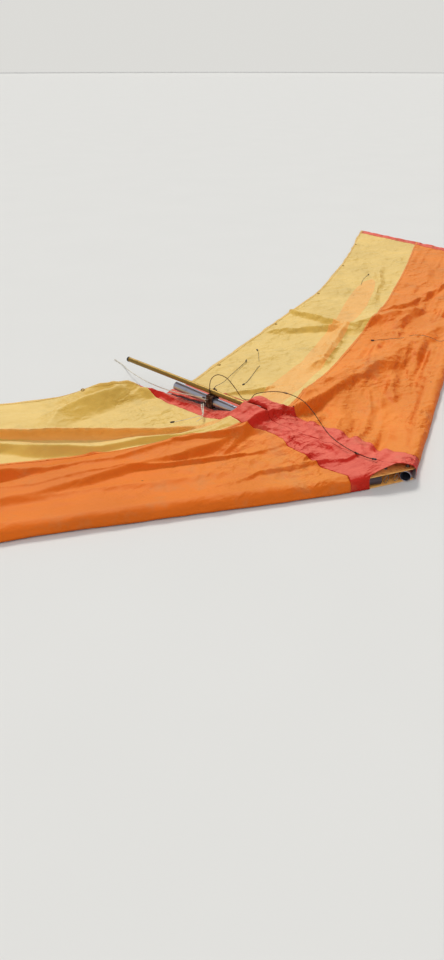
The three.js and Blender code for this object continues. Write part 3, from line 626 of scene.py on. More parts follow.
def ring_frame(path):
    """Two unit vectors across a path at each of its points, carried along without twist."""
    ahead = np.gradient(path, axis=0)
    ahead /= np.linalg.norm(ahead, axis=1)[:, None]
    side = np.cross(ahead[0], [0, 0, 1])
    if np.linalg.norm(side) < 1e-3:
        side = np.array([1.0, 0, 0])
    sides, ups = [], []
    for tangent in ahead:
        side = side - tangent * (side @ tangent)
        side = side / np.linalg.norm(side)
        sides.append(side)
        ups.append(np.cross(side, tangent))
    return np.array(sides), np.array(ups)


def ring_mesh(name, centres, sides, ups, radii, lengths, around, joined):
    """A skin over rings that joins its last ring to its first or has flat caps; UV is round it and along it."""
    turn = np.linspace(0, 2 * math.pi, around, endpoint=False)[None, :, None]
    points = centres[:, None] + np.asarray(radii)[:, None, None] * (sides[:, None] * np.cos(turn)
                                                                    + ups[:, None] * np.sin(turn))
    count = len(centres)
    faces = [(i * around + j, (i + 1) % count * around + j, (i + 1) % count * around + (j + 1) % around,
              i * around + (j + 1) % around) for i in range(count if joined else count - 1)
              for j in range(around)]
    if not joined:
        faces += [tuple(range(around)), tuple(reversed(range((count - 1) * around, count * around)))]
    mesh = bpy.data.meshes.new(name)
    mesh.from_pydata(points.reshape(-1, 3).tolist(), [], faces)
    layer = mesh.uv_layers.new(name="UVMap")
    for face in mesh.polygons:
        over_the_seam = face.vertices[0] % around == around - 1
        for loop in face.loop_indices:
            i, j = divmod(mesh.loops[loop].vertex_index, around)
            layer.data[loop].uv = (1.0 if over_the_seam and j == 0 else j / around, lengths[i])
    outward(mesh)
    mesh.polygons.foreach_set("use_smooth", [len(face.vertices) == 4 for face in mesh.polygons])
    return mesh


def distances(path):
    """Distance along a path to each of its points."""
    return np.concatenate([[0], np.cumsum(np.linalg.norm(np.diff(path, axis=0), axis=1))])


def sweep_mesh(name, path, radii, around=12):
    """A closed tube along a path with a radius at each point."""
    return ring_mesh(name, path, *ring_frame(path), np.broadcast_to(radii, len(path)), distances(path),
                     around, False)


def pipe_mesh(name, start, end, outline, around=40):
    """A body of revolution from start towards end: outline holds (distance, radius) and closes on itself."""
    start, end = to_row(start), to_row(end)
    sides, ups = (vectors[:1] for vectors in ring_frame(np.array([start, end])))
    along, radii = np.array(outline).T
    centres = start + (end - start) / np.linalg.norm(end - start) * along[:, None]
    return ring_mesh(name, centres, sides, ups, radii, along, around, True)


def tube_outline(length, radius, wall, soften=0.0006):
    """Outline of an open tube with softened rims."""
    inner = radius - wall
    return [(soften, radius), (length - soften, radius), (length, radius - soften), (length, inner + soften),
            (length - soften, inner), (soften, inner), (0, inner + soften), (0, radius - soften)]


def new_piece(name, mesh, material):
    piece = bpy.data.objects.new(name, mesh)
    bpy.context.scene.collection.objects.link(piece)
    piece.data.materials.clear()
    piece.data.materials.append(bpy.data.materials[material])
    return piece


def gather_with(piece, wing):
    """Bakes a piece's placement into its mesh; the weights it works out by angle round the nose bolt are not
    kept.
    """
    start, end = to_row([wing.bolt[0], wing.bolt[1], 0]), to_row([*wing.plan(1, 0), 0])
    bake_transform(piece)
    wing.gather(piece.data).astype(np.float32)


def fit(piece, carrier, node=None, sharp=None):
    """Hides the CAD node a piece stands for and parents the piece to its body; on a wing it bakes its
    placement.

    Edges sharper than an angle in degrees are kept sharp and the rest is shaded smooth.
    """
    if sharp:
        with edited(piece.data) as shape:
            for edge in shape.edges:
                if len(edge.link_faces) == 2:
                    edge.smooth = edge.calc_face_angle(0) < math.radians(sharp)
        piece.data.polygons.foreach_set("use_smooth", [True] * len(piece.data.polygons))
    if node:
        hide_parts(node)
    if isinstance(carrier, Wing):
        gather_with(piece, carrier)
    else:
        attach(piece, carrier)
    return piece


def dressed_copy(name, node, material, body, bevel=0.0008):
    """A copy of a CAD node with its edges softened, which stands for it."""
    mesh = frame["nodes"][node].data.copy()
    with edited(mesh) as shape:
        bmesh.ops.remove_doubles(shape, verts=shape.verts, dist=1e-5)
        bmesh.ops.dissolve_limit(shape, angle_limit=math.radians(2), verts=shape.verts, edges=shape.edges)
        hard = [e for e in shape.edges if len(e.link_faces) == 2 and e.calc_face_angle(0) > math.radians(40)]
        bmesh.ops.bevel(shape, geom=hard, offset=bevel, segments=2, profile=0.7, affect="EDGES",
                        clamp_overlap=True)
        bmesh.ops.triangulate(shape, faces=[f for f in shape.faces if len(f.verts) > 4])
    fit(new_piece(name, mesh, material), body, node, 35)


def thicken(piece, name, offset):
    layer = piece.modifiers.new(name, "SOLIDIFY")
    layer.thickness, layer.offset = THICKNESS, offset


def metres(name, description, default):
    return bpy.props.FloatProperty(name=name, description=description, default=default, unit="LENGTH",
                                   precision=4)


def number(name, description, default, **limits):
    return bpy.props.FloatProperty(name=name, description=description, default=default, min=0, **limits)


def hex_colour(name, description, default):
    return bpy.props.StringProperty(name=name, description=f"{description}, sRGB", default=default)


class GliderCloth(bpy.types.PropertyGroup):
    """Sizes and colours of the sail."""
    step: metres("Mesh step", "Distance between the cloth's mesh points", 0.0082)
    crumple: metres("Crumple", "Height of the cloth's small folds", 0.0105)
    tape: metres("Seam tape", "Width of the tape over each seam", 0.018)
    stitch_pitch: metres("Stitch pitch", "Distance from stitch to stitch, wider than real so that it shows",
                         0.016)
    # Each cloth's plain colour is its painted lit copy and its deep colour its painted shaded copy
    red: hex_colour("Red", "Red sailcloth where the sun faded it", "#FB7A64")
    deep_red: hex_colour("Deep red", "Red sailcloth on the folds' other sides", "#D2240F")
    orange: hex_colour("Orange", "Orange sailcloth where the sun faded it", "#FB9A42")
    deep_orange: hex_colour("Deep orange", "Orange sailcloth on the folds' other sides", "#E86E0C")
    yellow: hex_colour("Yellow", "Yellow sailcloth where the sun faded it", "#F8D788")
    deep_yellow: hex_colour("Deep yellow", "Yellow sailcloth on the folds' other sides", "#E6BC58")
    amber: hex_colour("Amber", "Stripe in the yellow cloth where the sun faded it", "#FCC678")
    deep_amber: hex_colour("Deep amber", "The stripe on the folds' other sides", "#FCB458")
    through: number("Light through", "Share of light that passes the cloth", 0.14, max=1, subtype="FACTOR")


class GliderFrame(bpy.types.PropertyGroup):
    """Sizes and colours of the tubes and fittings."""
    wall: metres("Tube wall", "Wall of the frame's tubes", 0.0017)
    bolt_flats: metres("Bolt size", "Across the flats of the frame's bolts", 0.013)
    silver: hex_colour("Silver", "Clear anodised tube", "#C6C7D4")
    gold: hex_colour("Gold", "Gold anodised tube", "#9C7E44")
    steel: hex_colour("Steel", "Weathered steel", "#8B8580")


class GliderStage(bpy.types.PropertyGroup):
    """Floor and light."""
    floor: hex_colour("Floor", "Floor colour", "#DEDDD9")
    sky: number("Sky", "Strength of the light from all round", 0.54)
    key: number("Key", "Strength of the main lamp", 1.7)


def shades(colour, low, high):
    """A hex colour darker and lighter, as the two colours of a Mix node."""
    return {6: scaled(linear(colour), low), 7: scaled(linear(colour), high)}


def bare_tree(name):
    """The empty node tree of a new material."""
    material = bpy.data.materials.new(name)
    material.use_nodes = True
    material.node_tree.nodes.clear()
    return material.node_tree


def make_sailcloth(name, colour, deep, through, stripe=None, deep_stripe=None, creased=1.0, kept=0.0):
    """Woven polyester sailcloth, resin-finished: crisp creases, a soft sheen, a little light through it."""
    tree = bare_tree(name)
    texture = add_node(tree, "ShaderNodeTexCoord").outputs
    place = texture["Object"]
    warp = add_node(tree, "ShaderNodeTexNoise", {"Vector": place, "Scale": 7.0, "Detail": 1.0})
    bent = add_node(tree, "ShaderNodeVectorMath", {0: warp.outputs["Color"], 1: (0.05, 0.05, 0.05), 2: place},
                    operation="MULTIPLY_ADD")
    # Where the cloth lies taut it is smoother and gets less painted light, so its colour stays deeper
    taut = add_node(tree, "ShaderNodeAttribute", attribute_name="taut").outputs["Fac"]
    loose = add_node(tree, "ShaderNodeMath", {0: 1.0, 1: taut}, operation="SUBTRACT")
    slack = add_node(tree, "ShaderNodeTexNoise", {"Vector": place, "Scale": 4.2})
    slack = add_node(tree, "ShaderNodeMapRange", {"Value": slack, "From Min": 0.40, "From Max": 0.62,
                                                  "To Min": 0.30})
    slack = add_node(tree, "ShaderNodeMath", {0: slack, 1: loose}, operation="MULTIPLY")
    # Crumpled facets 70, 34 and 15 mm across: distances along three axes make flat faces with sharp creases
    under = {}
    for size, height, turn, long in ((0.070, 0.0105, (0.4, 0.3, 0.7), 0.55),
                                     (0.034, 0.0046, (0.2, 0.5, 2.0), 0.75),
                                     (0.015, 0.0012, (0.6, 0.2, 1.3), 1.0)):
        turned = add_node(tree, "ShaderNodeMapping",
                          {"Vector": bent, "Rotation": turn, "Scale": (long, 1, 1)})
        facet = add_node(tree, "ShaderNodeTexVoronoi", {"Vector": turned, "Scale": 1 / size},
                         distance="MANHATTAN")
        bump = add_node(tree, "ShaderNodeBump", {"Height": facet, "Distance": height * creased,
                                                 "Strength": slack, **under})
        under = {"Normal": bump}
    # Ripstop threads in a grid of 6 mm squares
    lines = [add_node(tree, "ShaderNodeTexWave", {"Vector": texture["UV"], "Scale": BAND / 0.006},
                      bands_direction=axis).outputs["Fac"] for axis in ("X", "Y")]
    sharp = [add_node(tree, "ShaderNodeMath", {0: line, 1: 12.0}, operation="POWER") for line in lines]
    threads = add_node(tree, "ShaderNodeMath", dict(enumerate(sharp)), operation="MAXIMUM")
    weave = add_node(tree, "ShaderNodeBump",
                     {"Height": threads, "Distance": 0.00012, "Strength": 0.35, **under})
    # Painted light and shade: what faces up and aft gets the pale, lit colour, the folds' other sides the deep,
    # shaded one
    facing = add_node(tree, "ShaderNodeVectorMath", {0: bump, 1: (0.35, 0.30, 0.887)},
                      operation="DOT_PRODUCT")
    lit = add_node(tree, "ShaderNodeMapRange", {"Value": facing, "From Min": 0.52, "From Max": 0.98})
    # Taut cloth gets less of the painted light
    less = add_node(tree, "ShaderNodeMath", {0: taut, 1: -kept, 2: 1.0}, operation="MULTIPLY_ADD")
    lit = add_node(tree, "ShaderNodeMath", {0: lit, 1: less}, operation="MULTIPLY")
    pale, dark = linear(colour), linear(deep)
    if stripe:
        inside = add_node(tree, "ShaderNodeAttribute", attribute_name="stripe").outputs["Fac"]
        edge = add_node(tree, "ShaderNodeMapRange", {"Value": inside, "From Min": -0.001, "From Max": 0.001})
        pale, dark = (add_node(tree, "ShaderNodeMix", {0: edge, 6: plain, 7: linear(striped)},
                               data_type="RGBA")
                      for plain, striped in ((pale, stripe), (dark, deep_stripe)))
    base = add_node(tree, "ShaderNodeMix", {0: lit, 6: dark, 7: pale}, data_type="RGBA")
    drift = add_node(tree, "ShaderNodeTexNoise", {"Vector": place, "Scale": 2.4, "Detail": 4.0})
    shade = add_node(tree, "ShaderNodeMapRange", {"Value": drift, "From Min": 0.3, "From Max": 0.7,
                                                  "To Min": 0.90, "To Max": 1.06})
    base = add_node(tree, "ShaderNodeVectorMath", {0: base, "Scale": shade}, operation="SCALE")
    # Grey smudges of 0.1 to 0.3 m
    smudge = add_node(tree, "ShaderNodeTexNoise", {"Vector": place, "Scale": 5.0, "Detail": 6.0,
                                                   "Roughness": 0.65})
    smudge = add_node(tree, "ShaderNodeMapRange", {"Value": smudge, "From Min": 0.54, "From Max": 0.76,
                                                   "To Max": 0.30})
    base = add_node(tree, "ShaderNodeMix", {0: smudge, 6: base, 7: linear("#A09468")}, data_type="RGBA")
    # Specks of dirt, 4 to 9 mm across, one to about 0.2 m
    specks = add_node(tree, "ShaderNodeTexVoronoi", {"Vector": place, "Scale": 5.5}).outputs
    chance = add_node(tree, "ShaderNodeSeparateColor", {0: specks["Color"]})
    some = add_node(tree, "ShaderNodeMath", {0: chance, 1: 0.55}, operation="GREATER_THAN")
    speck = add_node(tree, "ShaderNodeMapRange", {"Value": specks["Distance"], "From Min": 0.020,
                                                  "From Max": 0.034, "To Min": 0.75, "To Max": 0.0})
    speck = add_node(tree, "ShaderNodeMath", {0: speck, 1: some}, operation="MULTIPLY")
    base = add_node(tree, "ShaderNodeMix", {0: speck, 6: base, 7: linear("#4A3B24")}, data_type="RGBA")
    shader = add_node(tree, "ShaderNodeBsdfPrincipled", {"Base Color": base, "Roughness": 0.6,
                                                         "Specular IOR Level": 0.22, "Normal": weave})
    # Light that passes the cloth comes out deeper in colour
    glow = add_node(tree, "ShaderNodeBsdfTranslucent", {"Color": dark, "Normal": weave})
    both = add_node(tree, "ShaderNodeMixShader", {0: through, 1: shader, 2: glow})
    add_node(tree, "ShaderNodeOutputMaterial", {"Surface": both})


def make_anodised(name, colour, roughness, painted_shade_at=None):
    """Drawn aluminium tube, anodised: satin, faint lines along it, scuffs, grey wear, and painted shade near
    one end.
    """
    tree = bare_tree(name)
    texture = add_node(tree, "ShaderNodeTexCoord").outputs
    # Drawing lines run along the tube: many round it, stretched along its length
    lines = add_node(tree, "ShaderNodeMapping", {"Vector": texture["UV"], "Scale": (60.0, 0.8, 1.0)})
    drawn = add_node(tree, "ShaderNodeTexNoise", {"Vector": lines, "Scale": 1.0, "Detail": 3.0})
    scuffs = add_node(tree, "ShaderNodeTexNoise", {"Vector": texture["Object"], "Scale": 38.0, "Detail": 6.0,
                                                   "Roughness": 0.7})
    worn = add_node(tree, "ShaderNodeMapRange", {"Value": scuffs, "From Min": 0.58, "From Max": 0.72})
    base = add_node(tree, "ShaderNodeMix", {0: drawn, **shades(colour, 0.84, 1.1)}, data_type="RGBA")
    base = add_node(tree, "ShaderNodeMix", {0: worn, 6: base, 7: scaled(linear(colour), 0.6)},
                    data_type="RGBA")
    # Painted shade: dark brown near this point, fading out by 0.12 m, where the tube lies in the hood's shadow
    if painted_shade_at is not None:
        away = add_node(tree, "ShaderNodeVectorMath", {0: texture["Object"], 1: painted_shade_at},
                        operation="DISTANCE")
        painted_shade = add_node(tree, "ShaderNodeMapRange", {"Value": away, "From Min": 0.06, "From Max": 0.12,
                                                      "To Min": 0.9, "To Max": 0.0})
        base = add_node(tree, "ShaderNodeMix", {0: painted_shade, 6: base, 7: linear("#3E2420")}, data_type="RGBA")
    rough = add_node(tree, "ShaderNodeMapRange", {"Value": drawn, "To Min": roughness - 0.06,
                                                  "To Max": roughness + 0.12})
    bump = add_node(tree, "ShaderNodeBump", {"Height": drawn, "Distance": 0.0001, "Strength": 0.3})
    shader = add_node(tree, "ShaderNodeBsdfPrincipled", {"Base Color": base, "Metallic": 1.0,
                                                         "Roughness": rough, "Normal": bump})
    add_node(tree, "ShaderNodeOutputMaterial", {"Surface": shader})


def make_weathered_metal(name, colour, rust, share, metallic=1.0, roughness=0.45):
    """Plated steel left outdoors: dull grey, with rust in patches of 5 to 20 mm."""
    tree = bare_tree(name)
    place = add_node(tree, "ShaderNodeTexCoord").outputs["Object"]
    blotch = add_node(tree, "ShaderNodeTexNoise", {"Vector": place, "Scale": 70.0, "Detail": 8.0,
                                                   "Roughness": 0.7})
    rusted = add_node(tree, "ShaderNodeMapRange", {"Value": blotch, "From Min": 0.62 - share * 0.25,
                                                   "From Max": 0.72 - share * 0.25})
    base = add_node(tree, "ShaderNodeMix", {0: rusted, 6: linear(colour), 7: linear(rust)}, data_type="RGBA")
    rough = add_node(tree, "ShaderNodeMapRange", {"Value": rusted, "To Min": roughness, "To Max": 0.85})
    bump = add_node(tree, "ShaderNodeBump", {"Height": blotch, "Distance": 0.0004, "Strength": 0.4})
    shader = add_node(tree, "ShaderNodeBsdfPrincipled", {"Base Color": base, "Metallic": metallic,
                                                         "Roughness": rough, "Normal": bump})
    add_node(tree, "ShaderNodeOutputMaterial", {"Surface": shader})


def make_stranded_wire(name, colour, rust, share, metallic=0.8):
    """Twisted steel wire rope: seven strands wind round it, one turn in about 11 mm, rust between them."""
    tree = bare_tree(name)
    texture = add_node(tree, "ShaderNodeTexCoord").outputs
    parts = add_node(tree, "ShaderNodeSeparateXYZ", {0: texture["UV"]}).outputs
    twist = add_node(tree, "ShaderNodeMath", {0: parts[1], 1: 1 / 0.011}, operation="MULTIPLY")
    phase = add_node(tree, "ShaderNodeMath", {0: twist, 1: parts[0]}, operation="ADD")
    strands = add_node(tree, "ShaderNodeMath", {0: phase, 1: 7.0 * 6.2832}, operation="MULTIPLY")
    height = add_node(tree, "ShaderNodeMath", {0: strands}, operation="SINE")
    blotch = add_node(tree, "ShaderNodeTexNoise", {"Vector": texture["Object"], "Scale": 60.0, "Detail": 5.0})
    rusted = add_node(tree, "ShaderNodeMapRange", {"Value": blotch, "From Min": 0.6 - share * 0.3,
                                                   "From Max": 0.7 - share * 0.3})
    base = add_node(tree, "ShaderNodeMix", {0: rusted, 6: linear(colour), 7: linear(rust)}, data_type="RGBA")
    rough = add_node(tree, "ShaderNodeMapRange", {"Value": rusted, "To Min": 0.4, "To Max": 0.8})
    bump = add_node(tree, "ShaderNodeBump", {"Height": height, "Distance": 0.0003, "Strength": 0.6})
    shader = add_node(tree, "ShaderNodeBsdfPrincipled", {"Base Color": base, "Metallic": metallic,
                                                         "Roughness": rough, "Normal": bump})
    add_node(tree, "ShaderNodeOutputMaterial", {"Surface": shader})


def make_plastic(name, colour, roughness, dirt):
    """Moulded or extruded plastic, dulled by weather, with patches of dirt."""
    tree = bare_tree(name)
    place = add_node(tree, "ShaderNodeTexCoord").outputs["Object"]
    grime = add_node(tree, "ShaderNodeTexNoise", {"Vector": place, "Scale": 45.0, "Detail": 6.0})
    dirty = add_node(tree, "ShaderNodeMapRange", {"Value": grime, "From Min": 0.5, "From Max": 0.75,
                                                  "To Max": 0.7})
    base = add_node(tree, "ShaderNodeMix", {0: dirty, 6: linear(colour), 7: linear(dirt)}, data_type="RGBA")
    rough = add_node(tree, "ShaderNodeMapRange", {"Value": grime, "To Min": roughness - 0.08,
                                                  "To Max": roughness + 0.15})
    grain = add_node(tree, "ShaderNodeTexNoise", {"Vector": place, "Scale": 900.0})
    bump = add_node(tree, "ShaderNodeBump", {"Height": grain, "Distance": 0.0001, "Strength": 0.25})
    shader = add_node(tree, "ShaderNodeBsdfPrincipled", {"Base Color": base, "Roughness": rough,
                                                         "Normal": bump})
    add_node(tree, "ShaderNodeOutputMaterial", {"Surface": shader})


def make_webbing(name, colour):
    """Woven polyester webbing: ribs of 2.5 mm across the strap, matt and fuzzy."""
    tree = bare_tree(name)
    place = add_node(tree, "ShaderNodeTexCoord").outputs["Object"]
    under = {}
    for axis, width in (("Z", 0.0025), ("X", 0.0035), ("Y", 0.0035)):
        ribs = add_node(tree, "ShaderNodeTexWave", {"Vector": place, "Scale": BAND / width},
                        bands_direction=axis)
        under["Normal"] = add_node(tree, "ShaderNodeBump", {"Height": ribs.outputs["Fac"], "Distance": 0.0004,
                                                            "Strength": 0.4, **under})
    fade = add_node(tree, "ShaderNodeTexNoise", {"Vector": place, "Scale": 30.0, "Detail": 5.0})
    base = add_node(tree, "ShaderNodeMix", {0: fade, **shades(colour, 0.7, 1.7)}, data_type="RGBA")
    shader = add_node(tree, "ShaderNodeBsdfPrincipled", {"Base Color": base, "Roughness": 0.9,
                                                         "Sheen Weight": 0.3, **under})
    add_node(tree, "ShaderNodeOutputMaterial", {"Surface": shader})


def make_thread(name, colour):
    """Polyester sewing thread, a little paler than the cloth, twisted every 2 mm."""
    tree = bare_tree(name)
    place = add_node(tree, "ShaderNodeTexCoord").outputs["Object"]
    fade = add_node(tree, "ShaderNodeTexNoise", {"Vector": place, "Scale": 25.0, "Detail": 3.0})
    base = add_node(tree, "ShaderNodeMix", {0: fade, **shades(colour, 0.75, 1.1)}, data_type="RGBA")
    ply = add_node(tree, "ShaderNodeTexWave", {"Vector": place, "Scale": BAND / 0.002},
                   bands_direction="DIAGONAL")
    bump = add_node(tree, "ShaderNodeBump",
                    {"Height": ply.outputs["Fac"], "Distance": 0.0002, "Strength": 0.3})
    shader = add_node(tree, "ShaderNodeBsdfPrincipled", {"Base Color": base, "Roughness": 0.65,
                                                         "Sheen Weight": 0.2, "Normal": bump})
    add_node(tree, "ShaderNodeOutputMaterial", {"Surface": shader})


def make_floor(name, colour):
    """Matt studio floor, a little uneven in tone."""
    tree = bare_tree(name)
    place = add_node(tree, "ShaderNodeTexCoord").outputs["Object"]
    mottle = add_node(tree, "ShaderNodeTexNoise", {"Vector": place, "Scale": 1.5})
    base = add_node(tree, "ShaderNodeMix", {0: mottle, **shades(colour, 0.97, 1.0)}, data_type="RGBA")
    shader = add_node(tree, "ShaderNodeBsdfPrincipled", {"Base Color": base, "Roughness": 1.0,
                                                         "Specular IOR Level": 0.0})
    add_node(tree, "ShaderNodeOutputMaterial", {"Surface": shader})


def make_backdrop(name, colour):
    """A studio wall that gives its own pale light."""
    tree = bare_tree(name)
    shader = add_node(tree, "ShaderNodeBsdfPrincipled", {
        "Base Color": (0, 0, 0, 1), "Roughness": 1.0, "Emission Color": scaled(linear(colour), 0.97),
        "Emission Strength": 1.0})
    add_node(tree, "ShaderNodeOutputMaterial", {"Surface": shader})


def growing_tree(name, inputs):
    """A new Geometry Nodes tree with named inputs: the tree, its inputs' sockets and each point's facing."""
    tree = bpy.data.node_groups.new(name, "GeometryNodeTree")
    sockets = [("Geometry", "INPUT", None), *((label, "INPUT", value) for label, value in inputs.items()),
               ("Geometry", "OUTPUT", None)]
    for label, way, value in sockets:
        kind = "Geometry" if value is None else "Vector" if isinstance(value, tuple) else "Float"
        made = tree.interface.new_socket(label, in_out=way, socket_type=f"NodeSocket{kind}")
        if value is not None:
            made.default_value = value
    facing = add_node(tree, "GeometryNodeInputNamedAttribute", {"Name": "facing"}, data_type="FLOAT_VECTOR")
    return tree, add_node(tree, "NodeGroupInput").outputs, facing


def set_on_points(tree, shape, points, rotation, material):
    """Ends a tree: sets a shape on points, makes the copies real and gives them their material."""
    placed = add_node(tree, "GeometryNodeInstanceOnPoints", {"Points": points, "Instance": shape,
                                                             "Rotation": rotation})
    real = add_node(tree, "GeometryNodeRealizeInstances", {"Geometry": placed})
    dressed = add_node(tree, "GeometryNodeSetMaterial", {"Geometry": real,
                                                         "Material": bpy.data.materials[material]})
    add_node(tree, "NodeGroupOutput", {0: dressed})
    return tree


def fastener_tree(material):
    """Geometry Nodes: a hexagon bolt head or nut on a washer at each point, turned to the point's facing."""
    tree, entry, facing = growing_tree("fasteners", {"Across flats": 0.013, "Head height": 0.006,
                                                     "Washer radius": 0.0115})
    flats, high, washer = entry["Across flats"], entry["Head height"], 0.0016
    stub_radius = add_node(tree, "ShaderNodeMath", {0: flats, 1: 0.26}, operation="MULTIPLY")
    stub_middle = add_node(tree, "ShaderNodeMath", {0: high, 1: 0.0028}, operation="ADD")
    head_radius = add_node(tree, "ShaderNodeMath", {0: flats, 1: 0.5774}, operation="MULTIPLY")
    head_middle = add_node(tree, "ShaderNodeMath", {0: high, 1: 0.5, 2: washer}, operation="MULTIPLY_ADD")
    joined = add_node(tree, "GeometryNodeJoinGeometry")
    for sides, radius, depth, middle in ((12, stub_radius, 0.004, stub_middle),
                                         (20, entry["Washer radius"], washer, washer / 2),
                                         (6, head_radius, high, head_middle)):
        part = add_node(tree, "GeometryNodeMeshCylinder",
                        {"Vertices": sides, "Radius": radius, "Depth": depth})
        lift = add_node(tree, "ShaderNodeCombineXYZ", {"Z": middle})
        part = add_node(tree, "GeometryNodeTransform", {"Geometry": part, "Translation": lift})
        tree.links.new(part.outputs[0], joined.inputs[0])
    turned = add_node(tree, "FunctionNodeAlignRotationToVector", {"Vector": facing}, axis="Z")
    points = add_node(tree, "GeometryNodeMeshToPoints", {"Mesh": entry["Geometry"]})
    return set_on_points(tree, joined, points, turned, material)


def stitch_tree(material):
    """Geometry Nodes: stitches of one length, spaced evenly along each line of a wire mesh."""
    tree, entry, facing = growing_tree("stitches", {"Pitch": 0.016, "Stitch size": (0.009, 0.0018, 0.0010)})
    line = add_node(tree, "GeometryNodeMeshToCurve", {"Mesh": entry["Geometry"]})
    even = add_node(tree, "GeometryNodeResampleCurve", {"Curve": line, "Length": entry["Pitch"]},
                    mode="LENGTH")
    stitch = add_node(tree, "GeometryNodeMeshCube", {"Size": entry["Stitch size"]})
    tangent = add_node(tree, "GeometryNodeInputTangent")
    along = add_node(tree, "FunctionNodeAlignRotationToVector", {"Vector": tangent}, axis="X")
    flat = add_node(tree, "FunctionNodeAlignRotationToVector", {"Rotation": along, "Vector": facing},
                    axis="Z", pivot_axis="X")
    return set_on_points(tree, stitch, even, flat, material)


def grommet_tree(material):
    """Geometry Nodes: a brass ring at each point, lying flat on the point's facing."""
    tree, entry, facing = growing_tree("grommets", {"Ring radius": 0.009, "Rim radius": 0.0026})
    ring, rim = (add_node(tree, "GeometryNodeCurvePrimitiveCircle",
                          {"Resolution": count, "Radius": entry[size]})
                 for count, size in ((16, "Ring radius"), (8, "Rim radius")))
    torus = add_node(tree, "GeometryNodeCurveToMesh", {"Curve": ring, "Profile Curve": rim})
    turned = add_node(tree, "FunctionNodeAlignRotationToVector", {"Vector": facing}, axis="Z")
    points = add_node(tree, "GeometryNodeMeshToPoints", {"Mesh": entry["Geometry"]})
    return set_on_points(tree, torus, points, turned, material)


def grow(name, points, facings, edges, tree, material, **values):
    """Runs a Geometry Nodes tree on points with facings and gives back the plain piece it makes."""
    seed = bpy.data.meshes.new(f"{name}_seed")
    seed.from_pydata(np.asarray(points).tolist(), edges, [])
    facing = seed.attributes.new("facing", "FLOAT_VECTOR", "POINT")
    facing.data.foreach_set("vector", np.asarray(facings, np.float32).ravel())
    holder = bpy.data.objects.new(f"{name}_seed", seed)
    bpy.context.scene.collection.objects.link(holder)
    modifier = holder.modifiers.new("grow", "NODES")
    modifier.node_group = tree
    for item in tree.interface.items_tree:
        if item.item_type == "SOCKET" and item.in_out == "INPUT" and item.name in values:
            modifier[item.identifier] = values[item.name]
    bpy.context.view_layer.update()
    mesh = bpy.data.meshes.new_from_object(holder.evaluated_get(bpy.context.evaluated_depsgraph_get()))
    holder.modifiers.clear()
    bpy.data.objects.remove(holder)
    if not mesh.polygons:
        raise RuntimeError(f"{name} came out empty")
    return new_piece(name, mesh, material)


def spline(route, steps):
    """The CAD source's centripetal curve through its route, in row-frame metres."""
    points = list(mm(route))
    points = [2 * points[0] - points[1], *points, 2 * points[-1] - points[-2]]
    pieces = len(route) - 1
    made = []
    for step in range(steps + 1):
        place = pieces * step / steps
        i = min(int(place), pieces - 1)
        weight = place - i
        p0, p1, p2, p3 = points[i:i + 4]
        d = [max(1e-4, np.linalg.norm(b - a) ** 0.5) for a, b in ((p0, p1), (p1, p2), (p2, p3))]
        t1 = ((p1 - p0) / d[0] - (p2 - p0) / (d[0] + d[1]) + (p2 - p1) / d[1]) * d[1]
        t2 = ((p2 - p1) / d[1] - (p3 - p1) / (d[1] + d[2]) + (p3 - p2) / d[2]) * d[1]
        c2, c3 = -3 * p1 + 3 * p2 - 2 * t1 - t2, 2 * p1 - 2 * p2 + t1 + t2
        made.append(p1 + t1 * weight + c2 * weight ** 2 + c3 * weight ** 3)
    return to_row(made)


class GLIDER_OT_finishes(bpy.types.Operator):
    """Makes the glider's materials"""
    bl_idname = "glider.finishes"
    bl_label = "Finishes"

    def execute(self, context):
        cloth, tubes = context.scene.glider_cloth, context.scene.glider_frame
        make_sailcloth("red_sailcloth", cloth.red, cloth.deep_red, cloth.through, creased=1.5)
        make_sailcloth("orange_sailcloth", cloth.orange, cloth.deep_orange, cloth.through, kept=0.9)
        make_sailcloth("yellow_sailcloth", cloth.yellow, cloth.deep_yellow, cloth.through, cloth.amber,
                       cloth.deep_amber)
        # The right leading edge's front end lies in the nose hood's shadow and gets painted shade
        hood_shaded_end = to_row(WINGS["right"].edge_point(EDGE_ENDS[0]))
        make_anodised("clear_anodised_tube", tubes.silver, 0.34, hood_shaded_end)
        make_anodised("gold_anodised_tube", tubes.gold, 0.46)
        make_weathered_metal("weathered_steel", tubes.steel, "#5A3A26", 0.3)
        make_weathered_metal("rusted_steel", "#6A5A4E", "#4A2A18", 0.8, metallic=0.7)
        make_weathered_metal("tarnished_brass", "#B08D4A", "#5E4526", 0.25)
        make_stranded_wire("rusty_stay_wire", "#7A4E2A", "#4A2A14", 0.7, metallic=0.5)
        make_stranded_wire("dark_stay_wire", "#6E675F", "#3A3029", 0.5)
        make_plastic("covered_cable", "#D8CFBC", 0.5, "#8F826A")
        make_plastic("black_moulding", "#1C1C1E", 0.55, "#4A463E")
        make_plastic("orange_coated_plate", "#FFBC66", 0.45, "#A8662A")
        make_webbing("strap_webbing", "#2A2A30")
        make_thread("sail_thread", "#E0903C")
        return {"FINISHED"}


